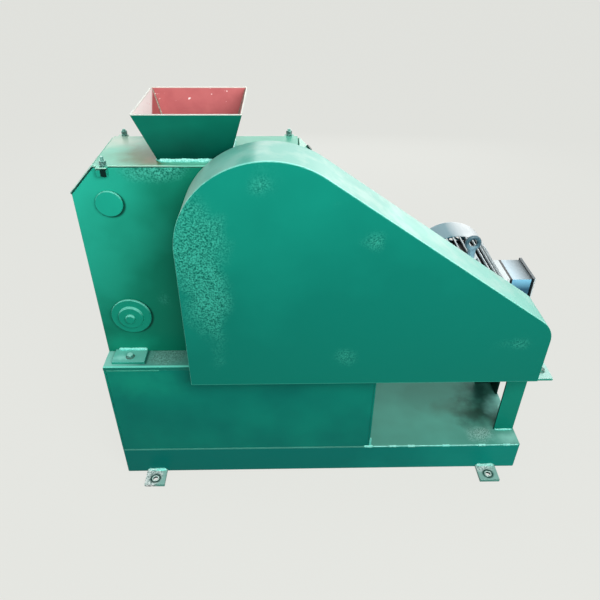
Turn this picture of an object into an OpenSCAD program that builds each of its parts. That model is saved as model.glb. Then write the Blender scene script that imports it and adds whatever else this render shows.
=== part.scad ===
// Laboratory jaw crusher with a sealed body, on a welded base with its motor behind a belt guard.
// X runs along the base towards the motor, Y to the rear, Z up. The origin lies on the ground,
// midway between the four anchor holes. Sizes are in millimetres.

/* [Base frame] */
// length of the bay beside the box, under the motor
motor_bay = 383; // [370:1:450]
// distance of the rail faces from the body's feet
foot_margin = 12; // [8:1:40]
// height of the channel rails
rail_height = 80; // [60:1:120]
// flange width of the channel rails
rail_flange = 43; // [30:1:55]
// web thickness of the channel rails
rail_web = 5; // [4:0.5:8]
// flange thickness of the channel rails
rail_flange_thickness = 8; // [5:0.5:10]
// thickness of the floor plate
floor_thickness = 4; // [3:0.5:8]
// distance of the floor plate and the box walls from the rail faces
floor_set_back = 0; // [0:0.5:6]
// width of an anchor lug
lug_width = 50; // [40:1:70]
// reach of an anchor lug beyond the rail
lug_reach = 48; // [40:1:70]
// thickness of an anchor lug
lug_thickness = 8; // [6:0.5:14]
// distance of a lug's middle from the end of the base
lug_inset = 76; // [60:1:120]
// diameter of an anchor hole
lug_hole = 14; // [10:0.5:18]
// distance of an anchor hole from the rail
lug_hole_out = 29; // [25:0.5:32]

/* [Box under the body] */
// length of the box beyond the body
box_margin = 129; // [110:1:170]
// height of the box walls
box_wall_height = 261; // [240:1:300]
// thickness of the box walls
box_wall = 5; // [4:0.5:8]
// thickness of the plate that carries the body
deck_thickness = 8; // [6:0.5:14]
// length of the outlet in that plate
outlet_length = 150; // [100:1:160]
// distance of the outlet's middle from the fixed jaw's face
outlet_offset = 4; // [0:1:14]
// length of the sample drawer
drawer_length = 240; // [200:1:280]
// height of the sample drawer
drawer_height = 120; // [90:1:160]
// wall thickness of the sample drawer
drawer_wall = 3; // [2:0.5:5]
// thickness of the drawer's front
drawer_front = 4; // [3:0.5:8]
// overlap of the drawer front on the box wall
drawer_lap = 12; // [8:1:20]
// distance between the ends of the drawer's pull
pull_span = 96; // [70:1:140]
// reach of the drawer's pull
pull_reach = 28; // [22:1:36]
// diameter of the bar of the drawer's pull
pull_bar = 10; // [8:0.5:14]
// bend radius of the drawer's pull
pull_bend = 12; // [9:0.5:18]
// clearance round the drawer in the box wall
drawer_clearance = 1.5; // [1:0.5:3]

/* [Body] */
// distance of the body from the left end of the base
body_inset = 0; // [0:0.5:10]
// width of the jaws
jaw_width = 125; // [110:1:130]
// clearance between a jaw and a side plate
jaw_clearance = 1.5; // [0.5:0.5:3]
// thickness of the side plates
side_plate = 18; // [14:1:22]
// height of the side plates above the crank shaft
shaft_cover = 128; // [112:0.5:150]
// length of the sloping corners
corner_length = 51; // [40:1:60]
// height of the sloping corners
corner_height = 54; // [45:1:70]
// thickness of the end walls
end_wall = 15; // [10:1:20]
// thickness of the cover and of the corner plates
cover_thickness = 3; // [2:0.5:12]
// thickness of the rubber gasket under the cover and the corner plates
gasket = 1.5; // [1.5:0.5:5]
// overhang of the cover past the side plates
cover_overhang = 1; // [0.5:0.5:6]
// width of a clamp ear on the cover
ear_width = 20; // [18:1:34]
// reach of a clamp ear beyond the side plate
ear_reach = 12; // [11:1:28]
// hole for a clamp bolt
clamp_hole = 8.5; // [6.5:0.5:9]
// distance of the clamps from the ends of the cover
clamp_inset = 18; // [15:1:40]
// height of a clamp lug
clamp_lug_height = 12; // [8:1:30]
// gap between a clamp lug and the cover
clamp_gap = 1; // [0.5:0.5:20]
// width of a body foot
foot_width = 73; // [60:1:90]
// reach of a body foot beyond the side plate
foot_reach = 46; // [40:1:50]
// thickness of a body foot
foot_thickness = 6; // [6:0.5:14]
// distance of a foot's middle from the end of the body
foot_inset = 54; // [48:1:80]
// bolt hole in a foot
foot_hole = 13; // [10:0.5:17]

/* [Hopper] */
// length of the hopper's foot
hopper_foot_length = 135; // [110:1:150]
// distance of the hopper's foot from the inner faces of the side plates
feed_margin = 2; // [0:1:16]
// length of the hopper's mouth
hopper_mouth_length = 197; // [170:1:230]
// reach of the hopper's mouth beyond its foot at the front and at the rear
hopper_reach = 34; // [25:1:60]
// height of the hopper
hopper_height = 98; // [80:1:150]
// sheet thickness of the hopper
hopper_sheet = 3; // [2:0.5:6]
// distance of the hopper's middle from the fixed jaw's face
hopper_offset = 66; // [58:0.5:70]

/* [Jaws] */
// distance of the fixed jaw's face from the left end of the body
fixed_face = 171; // [164:1:178]
// thickness of a jaw plate without its teeth
jaw_plate = 16; // [12:1:20]
// height of the teeth
tooth_height = 6; // [4:0.5:8]
// number of teeth across a jaw
tooth_count = 10; // [6:1:14]
// height of the fixed jaw's lower edge above the deck
jaw_lift = 30; // [20:1:60]
// gap between the jaws' upper edges and the cover
jaw_top_gap = 4; // [2:1:10]
// opening between the jaws at the top
gape = 100; // [90:1:104]
// opening between the jaws at the outlet
outlet_gap = 22; // [12:1:30]
// length of the moving jaw plate
moving_plate_length = 345; // [320:1:350]
// thickness of the moving jaw behind its plate
moving_jaw_back = 34; // [24:1:36]
// width of the web between the moving jaw's back and its barrel
jaw_web = 96; // [60:1:104]
// distance of the web's upper end below the top of the moving jaw
web_drop = 20; // [10:1:40]
// depth of the web in the moving jaw's back
web_root = 5; // [3:1:10]
// gap between the fixed jaw's block and the end wall
block_gap = 29; // [10:1:32]
// diameter of the pins that hold the fixed jaw block
pin_diameter = 38; // [30:1:42]
// distance of the pins from the back of the block
pin_depth = 25; // [22:1:30]
// height of the lower pin above the deck
lower_pin_height = 103; // [90:1:130]
// distance of the upper pin below the top of the side plates
upper_pin_drop = 72; // [50:1:90]
// diameter of the upper pin's head
upper_head = 53; // [50:1:60]
// thickness of the upper pin's head
upper_head_thickness = 6; // [4:0.5:10]
// diameter of the lower pin's flange
lower_flange = 87; // [70:1:92]
// diameter of the lower pin's collar
lower_collar = 53; // [45:1:60]
// thickness of the lower flange, of its collar and of its round end
lower_step = 6.5; // [3:0.5:8]
// diameter of the lower pin's round end
lower_end = 20; // [14:1:24]
// clearance of a pin or spigot in its bore
bore_clearance = 0.2; // [0.1:0.05:0.4]

/* [Drive] */
// distance of the crank shaft from the upper edge of the moving jaw's face
jaw_to_shaft = 110.6; // [106:0.2:118]
// distance of the crank shaft from the right end of the body
shaft_margin = 106.4; // [100:0.2:130]
// height of the crank shaft above the deck
shaft_height = 315.8; // [305:0.2:325]
// diameter of the crank shaft in its bearings
shaft_diameter = 50; // [40:1:60]
// throw of the crank
crank_throw = 6; // [3:0.5:8]
// diameter of the crank inside the moving jaw
crank_diameter = 66; // [64:1:76]
// outer diameter of the moving jaw's bearing barrel
barrel_diameter = 118; // [104:1:124]
// diameter of the bearing bores in the side plates
bearing_bore = 90; // [80:1:100]
// diameter of a bearing flange
bearing_flange = 128; // [116:1:140]
// thickness of a bearing flange
bearing_flange_thickness = 12; // [8:0.5:14]
// diameter of the dome on the rear bearing cap
cap_dome = 84; // [70:1:96]
// height of the dome on the rear bearing cap
cap_dome_height = 14; // [8:1:24]
// outer diameter of the flywheel
flywheel_diameter = 316; // [280:1:320]
// width of the flywheel
flywheel_width = 58; // [52:1:62]
// thickness of the flywheel's web
flywheel_web = 16; // [10:1:24]
// thickness of the flywheel's rim
flywheel_rim = 34; // [30:1:44]
// diameter of the flywheel's hub
flywheel_hub = 96; // [80:1:110]
// gap between the front bearing and the flywheel
flywheel_gap = 9; // [5:0.5:16]
// outer diameter of the motor pulley
pulley_diameter = 96; // [86:1:120]
// width of the motor pulley
pulley_width = 50; // [46:1:52]
// width of a belt at its back
belt_width = 17; // [13:0.5:18]
// height of a belt
belt_height = 11; // [8:0.5:12]
// distance between the two belts
belt_pitch = 20; // [19:0.5:22]
// half angle of the belt grooves
groove_angle = 18; // [16:1:20]
// clearance between a belt and its groove
groove_clearance = 0.2; // [0.1:0.05:0.4]

/* [Belt guard] */
// sheet thickness of the guard
guard_sheet = 2.5; // [1.5:0.5:4]
// gap between the flywheel and the guard's front
guard_gap = 27; // [14:1:40]
// gap between the flywheel and the guard's band
guard_clearance = 18.5; // [10:0.5:30]
// radius of the guard's small end
guard_small_radius = 60; // [40:1:70]
// distance of the guard's right side from the right end of the base
guard_right = 37; // [30:1:50]
// height of the small end's centre above the motor plate
guard_small_height = 106.5; // [95:0.5:130]

/* [Motor and its stand] */
// drop of the motor plate below the deck
plate_drop = 4; // [2:1:24]
// thickness of the motor plate
motor_plate_thickness = 6; // [5:0.5:10]
// distance of the motor plate's end from the end of the base
motor_plate_inset = 3; // [3:0.5:12]
// leg width of the post angles
post_width = 50; // [40:1:60]
// thickness of the post angles
post_thickness = 5; // [4:0.5:8]
// distance from the front of the front post to the rear of the rear post
post_distance = 180; // [160:1:250]
// distance of the motor's axis from the right end of the base
motor_inset = 161; // [150:1:170]
// height of the motor's axis over its plate
motor_height = 94; // [90:1:110]
// distance of the motor's feet centre behind the motor shaft's end
motor_foot_distance = 193; // [185:1:200]
// length of the motor's shaft end
motor_shaft_length = 60; // [56:1:64]
// diameter of the motor's shaft
motor_shaft_diameter = 28; // [24:1:32]
// length of the finned motor housing
housing_length = 192; // [165:1:202]
// height of the cooling fins
fin_height = 12; // [8:0.5:20]
// gap between the motor housing and its plate
housing_gap = 14; // [10:0.5:20]
// thickness of a cooling fin
fin_thickness = 3; // [2:0.5:5]
// number of cooling fins in a full turn
fin_count = 36; // [24:4:48]
// length of the drive end shield
shield_length = 40; // [30:1:41]
// gap between the fan cowl and the motor plate
cowl_gap = 1; // [0.5:0.5:10]
// length of the shield's rim
shield_rim = 12; // [6:1:16]
// diameter of the shield's hub
shield_hub = 92; // [60:1:110]
// length of the shield's hub
shield_hub_length = 10; // [4:1:14]
// length of the fan cowl
cowl_length = 86; // [76:1:120]
// sheet thickness of the fan cowl
cowl_sheet = 2; // [1.5:0.5:4]
// edge radius of the fan cowl
cowl_edge = 14; // [6:1:20]
// radius of the first ring of slots in the fan cowl
grille_first = 24; // [18:1:30]
// distance between the rings of slots
grille_step = 12; // [9:1:16]
// distance between the motor's foot holes across its axis
foot_hole_across = 160; // [150:1:170]
// distance between the motor's foot holes along its axis
foot_hole_along = 140; // [110:1:140]
// width of a motor foot
motor_foot_width = 40; // [34:1:46]
// length of a motor foot past its holes
motor_foot_end = 16; // [12:1:20]
// thickness of the webs over the motor feet
motor_foot_web = 12; // [8:1:16]
// thickness of a motor foot
motor_foot_thickness = 13; // [9:1:18]
// size of the terminal box
terminal_size = 92; // [80:1:100]
// distance of the terminal lid's face from the motor's axis
terminal_reach = 162; // [150:1:170]
// thickness of the terminal lid
terminal_lid_thickness = 7; // [4:0.5:10]
// edge of the terminal lid past its box
terminal_lid_lap = 4; // [2:0.5:6]
// distance of the terminal box from the fan cowl
terminal_margin = 19; // [1:0.5:29]
// height of the terminal box's middle below the motor's axis
terminal_drop = 11; // [0:1:20]
// radius of the lifting eye's ring
eye_radius = 14; // [12:0.5:20]
// radius of the lifting eye's bar
eye_bar = 5; // [4:0.5:6]
// diameter of the lifting eye's foot
eye_foot = 18; // [15:0.5:20]
// diameter of the boss under the lifting eye
eye_boss = 30; // [24:1:40]
// height of the lifting eye's ring above the fins
eye_lift = 16.5; // [4:0.5:20]

/* [Hidden] */
$fn = 96;

paint = "#16806c";
dark_paint = "#0e6655";
pale_paint = "#4b8e81";
hopper_paint = "#0b634f";
motor_paint = "#5f8b9c";
steel = "#9aa3a6";
iron = "#55595c";
rubber = "#1b1c1d";
cut = 1;

// width of the body, and the base round it
inner_half = jaw_width / 2 + jaw_clearance;
outer_half = inner_half + side_plate;
shaft_inset = fixed_face + gape + jaw_to_shaft;
body_length = shaft_inset + shaft_margin;
body_height = shaft_height + shaft_cover;
box_length = body_inset + body_length + box_margin;
base_length = box_length + motor_bay;
base_depth = 2 * (outer_half + foot_reach + foot_margin);

// base
base_left = -base_length / 2;
base_right = base_length / 2;
base_front = -base_depth / 2;
base_rear = base_depth / 2;
floor_top = rail_height + floor_thickness;
anchor_x = base_length / 2 - lug_inset;

// box
box_left_face = base_left + floor_set_back;
box_right_face = base_left + box_length;
box_front_face = base_front + floor_set_back;
box_rear_face = base_rear - floor_set_back;
deck_top = floor_top + box_wall_height + deck_thickness;

// body
body_left = base_left + body_inset;
body_right = body_left + body_length;
body_middle = (body_left + body_right) / 2;
body_top = deck_top + body_height;
cover_low = body_top + gasket;
cover_top = cover_low + cover_thickness;
cover_left = body_left + corner_length;
cover_right = body_right - corner_length;
shoulder = body_top - corner_height;
clamp_x = [cover_left + clamp_inset, cover_right - clamp_inset];
clamp_y = outer_half + ear_reach / 2;
foot_x = [body_left + foot_inset, body_right - foot_inset];

// jaws
fixed_x = body_left + fixed_face;
jaw_bottom = deck_top + jaw_lift;
jaw_top = body_top - jaw_top_gap;
block_left = body_left + end_wall + block_gap;
block_right = fixed_x - tooth_height - jaw_plate;
pin_x = block_left + pin_depth;
pin_z = [deck_top + lower_pin_height, body_top - upper_pin_drop];
moving_top = [fixed_x + gape, jaw_top];
moving_slope = asin((gape - outlet_gap) / moving_plate_length);
outlet_x = fixed_x + outlet_offset;

// hopper
hopper_x = fixed_x + hopper_offset;
hopper_top = cover_top + hopper_height;
hopper_foot_depth = 2 * (inner_half - feed_margin);
hopper_mouth_depth = hopper_foot_depth + 2 * hopper_reach;

// drive
shaft_x = body_left + shaft_inset;
shaft_z = deck_top + shaft_height;
belt_y = -(outer_half + bearing_flange_thickness + flywheel_gap + flywheel_width / 2);
motor_x = base_right - motor_inset;
motor_plate_top = deck_top - plate_drop;
motor_z = motor_plate_top + motor_height;
centre_run = motor_x - shaft_x;
centre_drop = motor_z - shaft_z;
centre_distance = sqrt(pow(centre_run, 2) + pow(centre_drop, 2));
centre_angle = atan2(centre_drop, centre_run);
belt_back_large = flywheel_diameter / 2;
belt_back_small = pulley_diameter / 2;
belt_turn = acos((belt_back_large - belt_back_small) / centre_distance);

// guard
guard_front_y = belt_y - flywheel_width / 2 - guard_gap;
guard_depth = -outer_half - guard_front_y;
guard_radius = flywheel_diameter / 2 + guard_clearance + guard_sheet;
guard_left = shaft_x - guard_radius;
guard_right_x = base_right - guard_right;
guard_small_x = guard_right_x - guard_small_radius;
guard_small_z = motor_plate_top + guard_small_height;

// motor
shaft_end_y = belt_y - motor_shaft_length / 2;
motor_foot_y = shaft_end_y + motor_foot_distance;
shoulder_y = shaft_end_y + motor_shaft_length;
housing_front = shoulder_y + shield_length;
housing_rear = housing_front + housing_length;
housing_diameter = 2 * (motor_height - housing_gap);
fin_diameter = housing_diameter + 2 * fin_height;
cowl_diameter = 2 * (motor_height - cowl_gap);
cowl_rear = housing_rear + cowl_length;
motor_plate_right = base_right - motor_plate_inset;
terminal_y = housing_rear - terminal_margin - terminal_size / 2;
terminal_z = motor_z - terminal_drop;
terminal_lid_x = motor_x + terminal_reach - terminal_lid_thickness;

// draws its children, made in X and Z, from depth y towards the front
module upright(y) {
    translate([0, y, 0]) rotate([90, 0, 0]) children();
}

// a solid of revolution about a line along Y; its profile is [radius, distance to the front]
module along_y(x, y, z) {
    translate([x, y, z]) rotate([90, 0, 0]) rotate_extrude() children();
}

// a box given by its low and high corners
module block(low, high) {
    translate(low) cube(high - low);
}

// a channel centred along X, its web on the plane y = 0, its flanges towards +Y, mitred at both ends
module channel(length) {
    half = length / 2;
    color(dark_paint) difference() {
        linear_extrude(rail_height)
            polygon([[-half, 0], [half, 0], [half - rail_flange, rail_flange], [rail_flange - half, rail_flange]]);
        translate([-half, rail_web, rail_flange_thickness])
            cube([length, rail_flange, rail_height - 2 * rail_flange_thickness]);
    }
}

module front_rail() {
    translate([0, base_front, 0]) channel(base_length);
}

module rear_rail() {
    translate([0, base_rear, 0]) rotate([0, 0, 180]) channel(base_length);
}

module left_rail() {
    translate([base_left, 0, 0]) rotate([0, 0, -90]) channel(base_depth);
}

module right_rail() {
    translate([base_right, 0, 0]) rotate([0, 0, 90]) channel(base_depth);
}

module floor_plate() {
    low = [base_left + floor_set_back, base_front + floor_set_back, rail_height];
    high = [base_right - floor_set_back, base_rear - floor_set_back, floor_top];
    color(pale_paint) block(low, high);
}

module anchor_lug() {
    difference() {
        translate([-lug_width / 2, 0, 0]) cube([lug_width, lug_reach, lug_thickness]);
        translate([0, lug_hole_out, -cut]) cylinder(d = lug_hole, h = lug_thickness + 2 * cut);
    }
}

module anchor_lugs() {
    color(pale_paint) {
        for (x = [-anchor_x, anchor_x]) {
            translate([x, base_rear, 0]) anchor_lug();
            translate([x, base_front, 0]) mirror([0, 1, 0]) anchor_lug();
        }
    }
}

module box_front() {
    low = [box_left_face + box_wall, box_front_face, floor_top];
    high = [box_right_face - box_wall, box_front_face + box_wall, floor_top + box_wall_height];
    color(paint) block(low, high);
}

// the rear wall has the opening for the sample drawer
module box_rear() {
    half = drawer_length / 2 + drawer_clearance;
    low = [box_left_face + box_wall, box_rear_face - box_wall, floor_top];
    high = [box_right_face - box_wall, box_rear_face, floor_top + box_wall_height];
    hole_low = [outlet_x - half, low[1] - cut, floor_top - cut];
    hole_high = [outlet_x + half, high[1] + cut, floor_top + drawer_height + drawer_clearance];
    color(paint) difference() {
        block(low, high);
        block(hole_low, hole_high);
    }
}

// the end walls cover the ends of the front and rear walls
module box_ends() {
    color(paint) for (x = [box_left_face, box_right_face - box_wall])
        block([x, box_front_face, floor_top], [x + box_wall, box_rear_face, floor_top + box_wall_height]);
}

// the deck has the outlet under the jaws and the holes for the body's bolts
module deck_plate() {
    color(pale_paint) difference() {
        block([base_left, base_front, deck_top - deck_thickness], [box_right_face, base_rear, deck_top]);
        block([outlet_x - outlet_length / 2, -inner_half, deck_top - deck_thickness - cut],
            [outlet_x + outlet_length / 2, inner_half, deck_top + cut]);
        body_bolts(deck_top - deck_thickness - cut, deck_top + cut);
    }
}

// upright cylinders at the bolts of the body's feet
module body_bolts(low, high) {
    for (x = foot_x, side = [-1, 1])
        translate([x, side * (outer_half + foot_reach / 2), low])
            cylinder(d = foot_hole, h = high - low);
}

// an open tray with a lapped front, on the floor plate
module sample_drawer() {
    left = outlet_x - drawer_length / 2;
    right = outlet_x + drawer_length / 2;
    front = box_front_face + 2 * box_wall;
    top = floor_top + drawer_height;
    color(paint) {
        difference() {
            block([left, front, floor_top], [right, box_rear_face, top]);
            block([left + drawer_wall, front + drawer_wall, floor_top + drawer_wall],
                [right - drawer_wall, box_rear_face - drawer_wall, top + cut]);
        }
        block([left - drawer_lap, box_rear_face, floor_top],
            [right + drawer_lap, box_rear_face + drawer_front, top + drawer_lap]);
        translate([outlet_x, box_rear_face + drawer_front, (floor_top + top) / 2]) drawer_pull();
    }
}

// a bent bar: two legs out of the drawer's front, two bends and the grip between them
module drawer_pull() {
    leg = pull_reach - pull_bend;
    for (side = [0, 1]) mirror([side, 0, 0]) translate([pull_span / 2, 0, 0]) {
        rotate([-90, 0, 0]) cylinder(d = pull_bar, h = leg);
        translate([-pull_bend, leg, 0]) rotate_extrude(angle = 90) translate([pull_bend, 0]) circle(d = pull_bar);
    }
    translate([pull_bend - pull_span / 2, pull_reach, 0]) rotate([0, 90, 0])
        cylinder(d = pull_bar, h = pull_span - 2 * pull_bend);
}

// the outline of a side plate in X and Z
module side_outline() {
    polygon([[body_left, deck_top], [body_right, deck_top], [body_right, shoulder],
        [cover_right, body_top], [cover_left, body_top], [body_left, shoulder]]);
}

// a side plate with its bearing bore and pin bores, its inner face at the given depth
module side_plate_at(y) {
    color(paint) upright(y) linear_extrude(side_plate) difference() {
        side_outline();
        translate([shaft_x, shaft_z]) circle(d = bearing_bore);
        for (z = pin_z) translate([pin_x, z]) circle(d = pin_diameter + 2 * bore_clearance);
    }
}

module front_side_plate() {
    side_plate_at(-inner_half);
}

module rear_side_plate() {
    side_plate_at(outer_half);
}

module left_end_wall() {
    color(paint) block([body_left, -inner_half, deck_top], [body_left + end_wall, inner_half, shoulder]);
}

module right_end_wall() {
    color(paint) block([body_right - end_wall, -inner_half, deck_top], [body_right, inner_half, shoulder]);
}

// lays its children, flat in X and Y with X up the slope, on the left sloping corners
module on_corner(lift) {
    translate([body_left, 0, shoulder]) rotate([0, -atan2(corner_height, corner_length), 0])
        translate([0, 0, lift]) children();
}

corner_run = sqrt(pow(corner_length, 2) + pow(corner_height, 2));

// a plate on the gasket of the left sloping corners
module corner_plate() {
    color(paint) on_corner(gasket) translate([0, -outer_half, 0]) cube([corner_run, 2 * outer_half, cover_thickness]);
}

// a rubber strip along the upper edge of each side plate, bent at the corners
module cover_gasket() {
    slope = atan2(corner_height, corner_length);
    bend = gasket * tan(slope / 2);
    low = [shoulder, body_top];
    end = [gasket * sin(slope), gasket * cos(slope)];
    color(rubber) for (y = [-inner_half, outer_half]) upright(y) linear_extrude(side_plate) polygon([
        [body_left, low[0]], [cover_left, low[1]], [cover_right, low[1]], [body_right, low[0]],
        [body_right + end[0], low[0] + end[1]], [cover_right + bend, cover_low],
        [cover_left - bend, cover_low], [body_left - end[0], low[0] + end[1]]]);
}

module corner_plates() {
    corner_plate();
    translate([2 * body_middle, 0, 0]) mirror([1, 0, 0]) corner_plate();
}

// the cover has the feed opening and four ears for the clamps
module cover_plate() {
    half = outer_half + cover_overhang;
    color(paint) translate([0, 0, cover_low]) linear_extrude(cover_thickness) difference() {
        union() {
            translate([cover_left, -half]) square([cover_right - cover_left, 2 * half]);
            for (x = clamp_x)
                translate([x - ear_width / 2, -outer_half - ear_reach])
                    square([ear_width, 2 * (outer_half + ear_reach)]);
        }
        translate([hopper_x, 0]) square(feed_size(), center = true);
        for (x = clamp_x, side = [-1, 1])
            translate([x, side * clamp_y]) circle(d = clamp_hole);
    }
}

function feed_size() = [hopper_foot_length - 2 * hopper_sheet, hopper_foot_depth - 2 * hopper_sheet];

// a lug on the side plate under each ear of the cover
module clamp_lugs() {
    top = body_top - clamp_gap;
    color(dark_paint) for (x = clamp_x, side = [-1, 1])
        translate([x, side * clamp_y, top - clamp_lug_height]) difference() {
            translate([-ear_width / 2, -ear_reach / 2, 0]) cube([ear_width, ear_reach, clamp_lug_height]);
            translate([0, 0, -cut]) cylinder(d = clamp_hole, h = clamp_lug_height + 2 * cut);
        }
}

module body_feet() {
    color(pale_paint) difference() {
        for (x = foot_x, side = [-1, 1])
            translate([x - foot_width / 2, side * (outer_half + foot_reach / 2) - foot_reach / 2, deck_top])
                cube([foot_width, foot_reach, foot_thickness]);
        body_bolts(deck_top - cut, deck_top + foot_thickness + cut);
    }
}

// the corner of the hopper: side signs, then inner or outer skin, at its foot or its mouth
function hopper_corner(sx, sy, inset, mouth) = [
    hopper_x + sx * ((mouth ? hopper_mouth_length : hopper_foot_length) / 2 - inset),
    sy * ((mouth ? hopper_mouth_depth : hopper_foot_depth) / 2 - inset),
    mouth ? hopper_top : cover_top];

// a hopper wall between two corners, mitred to its neighbours
module hopper_wall(a, b) {
    ends = [a, b];
    color(hopper_paint) polyhedron(
        points = [for (mouth = [false, true], inset = [0, hopper_sheet], end = ends)
            hopper_corner(end[0], end[1], inset, mouth)],
        faces = [[0, 1, 3, 2], [4, 6, 7, 5], [0, 4, 5, 1], [2, 3, 7, 6], [0, 2, 6, 4], [1, 5, 7, 3]]);
}

module hopper_front() {
    hopper_wall([-1, -1], [1, -1]);
}

module hopper_rear() {
    hopper_wall([1, 1], [-1, 1]);
}

module hopper_left() {
    hopper_wall([-1, 1], [-1, -1]);
}

module hopper_right() {
    hopper_wall([1, -1], [1, 1]);
}

// the section of a jaw plate: a flat back at x = 0 and upright teeth towards +X
module jaw_section() {
    pitch = jaw_width / tooth_count;
    polygon(concat([[0, -jaw_width / 2]],
        [for (i = [0:tooth_count - 1]) each [[jaw_plate, (i - tooth_count / 2) * pitch],
            [jaw_plate + tooth_height, (i + 0.5 - tooth_count / 2) * pitch]]],
        [[jaw_plate, jaw_width / 2], [0, jaw_width / 2]]));
}

// the casting behind the fixed jaw plate, hung on the two pins
module fixed_jaw_block() {
    color(iron) upright(jaw_width / 2) linear_extrude(jaw_width) difference() {
        polygon([[block_left, jaw_bottom], [block_right, jaw_bottom], [block_right, jaw_top],
            [cover_left, jaw_top], [block_left, jaw_top - corner_height]]);
        for (z = pin_z) translate([pin_x, z]) circle(d = pin_diameter + 2 * bore_clearance);
    }
}

module fixed_jaw_plate() {
    color(iron) translate([block_right, 0, jaw_bottom]) linear_extrude(jaw_top - jaw_bottom) jaw_section();
}

// draws its children in the moving jaw's own frame: origin at the top of its face, Z along the jaw
module on_moving_jaw() {
    translate([moving_top[0], 0, moving_top[1]]) rotate([0, moving_slope, 0]) children();
}

module moving_jaw_plate() {
    color(iron) on_moving_jaw() translate([jaw_plate + tooth_height, 0, -moving_plate_length])
        linear_extrude(moving_plate_length) mirror([1, 0]) jaw_section();
}

// the swinging casting: a back for the plate, a barrel round the crank and a web between them
module moving_jaw() {
    back = jaw_plate + tooth_height;
    crank = [shaft_x, shaft_z + crank_throw];
    grip = barrel_diameter * 0.4;
    web = [moving_point(back + web_root, -web_drop), crank + [0, grip], crank + [grip * 0.7, -grip * 0.7],
        moving_point(back + web_root, -moving_plate_length * 0.9)];
    color(iron) difference() {
        union() {
            on_moving_jaw() translate([back, -jaw_width / 2, -moving_plate_length])
                cube([moving_jaw_back, jaw_width, moving_plate_length]);
            upright(jaw_web / 2) linear_extrude(jaw_web) polygon(web);
            along_y(crank[0], jaw_width / 2, crank[1]) square([barrel_diameter / 2, jaw_width]);
        }
        along_y(crank[0], jaw_width, crank[1]) square([crank_diameter / 2 + bore_clearance, 2 * jaw_width]);
    }
}

// a point in X and Z, given by its depth behind the moving jaw's face and its place along that jaw
function moving_point(deep, up) = moving_top
    + deep * [cos(moving_slope), -sin(moving_slope)] + up * [sin(moving_slope), cos(moving_slope)];

// a pin right through the body, with a plain round head at each side
module upper_pin() {
    color(paint) {
        along_y(pin_x, outer_half, pin_z[1]) square([pin_diameter / 2, 2 * outer_half]);
        for (y = [-outer_half, outer_half + upper_head_thickness])
            along_y(pin_x, y, pin_z[1]) square([upper_head / 2, upper_head_thickness]);
    }
}

// a pin with a stepped flange and a round end at each side
module lower_pin() {
    color(paint) {
        along_y(pin_x, outer_half, pin_z[0]) square([pin_diameter / 2, 2 * outer_half]);
        for (side = [0, 1]) mirror([0, side, 0]) along_y(pin_x, -outer_half, pin_z[0]) {
            square([lower_flange / 2, lower_step]);
            square([lower_collar / 2, 2 * lower_step]);
            square([lower_end / 2, 3 * lower_step]);
        }
    }
}

// the shaft runs from the rear bearing to the flywheel, with the crank between the side plates
module crank_shaft() {
    front = -belt_y + flywheel_width / 2;
    color(steel) {
        along_y(shaft_x, outer_half, shaft_z) square([shaft_diameter / 2, outer_half + front]);
        along_y(shaft_x, jaw_width / 2, shaft_z + crank_throw)
            square([crank_diameter / 2, jaw_width]);
    }
}

// a flanged bearing housing in the front side plate, open for the shaft
module front_bearing() {
    color(paint) along_y(shaft_x, -inner_half, shaft_z) translate([shaft_diameter / 2 + bore_clearance, 0]) {
        square([(bearing_bore - shaft_diameter) / 2 - 2 * bore_clearance, side_plate]);
        translate([0, side_plate])
            square([(bearing_flange - shaft_diameter) / 2 - bore_clearance, bearing_flange_thickness]);
    }
}

// the rear housing is closed by a domed cap
module rear_bearing() {
    cap = outer_half + bearing_flange_thickness;
    color(paint) {
        along_y(shaft_x, outer_half, shaft_z) translate([shaft_diameter / 2 + bore_clearance, 0])
            square([(bearing_bore - shaft_diameter) / 2 - 2 * bore_clearance, side_plate]);
        along_y(shaft_x, cap, shaft_z) square([bearing_flange / 2, bearing_flange_thickness]);
        along_y(shaft_x, cap + cap_dome_height, shaft_z)
            polygon([[0, 0], [cap_dome / 2 - cap_dome_height / 2, 0], [cap_dome / 2, cap_dome_height], [0, cap_dome_height]]);
    }
}

module bearings() {
    front_bearing();
    rear_bearing();
}

// the groove of one belt, from its back at the given radius inwards; the opening runs past the rim
module groove(radius) {
    lean = tan(groove_angle);
    half = belt_width / 2 + groove_clearance / cos(groove_angle);
    deep = belt_height + groove_clearance;
    polygon([[radius + cut, -half - cut * lean], [radius - deep, -half + deep * lean],
        [radius - deep, half - deep * lean], [radius + cut, half + cut * lean]]);
}

// places of the belts across a pulley, from its middle
belt_places = [-belt_pitch / 2, belt_pitch / 2];

module flywheel() {
    radius = flywheel_diameter / 2;
    half = flywheel_width / 2;
    color(iron) along_y(shaft_x, belt_y, shaft_z) difference() {
        union() {
            translate([radius - flywheel_rim, -half]) square([flywheel_rim, flywheel_width]);
            translate([shaft_diameter / 2, -flywheel_web / 2])
                square([radius - shaft_diameter / 2 - cut, flywheel_web]);
            translate([shaft_diameter / 2, -half]) square([(flywheel_hub - shaft_diameter) / 2, flywheel_width]);
        }
        for (place = belt_places) translate([0, place]) groove(radius);
    }
}

module motor_pulley() {
    radius = pulley_diameter / 2;
    color(iron) along_y(motor_x, belt_y, motor_z) difference() {
        translate([motor_shaft_diameter / 2, -pulley_width / 2])
            square([radius - motor_shaft_diameter / 2, pulley_width]);
        for (place = belt_places) translate([0, place]) groove(radius);
    }
}

// the section of a belt, its back at the given radius
module belt_section(radius) {
    half = belt_width / 2;
    foot = half - belt_height * tan(groove_angle);
    polygon([[radius - belt_height, -foot], [radius, -half], [radius, half], [radius - belt_height, foot]]);
}

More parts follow.
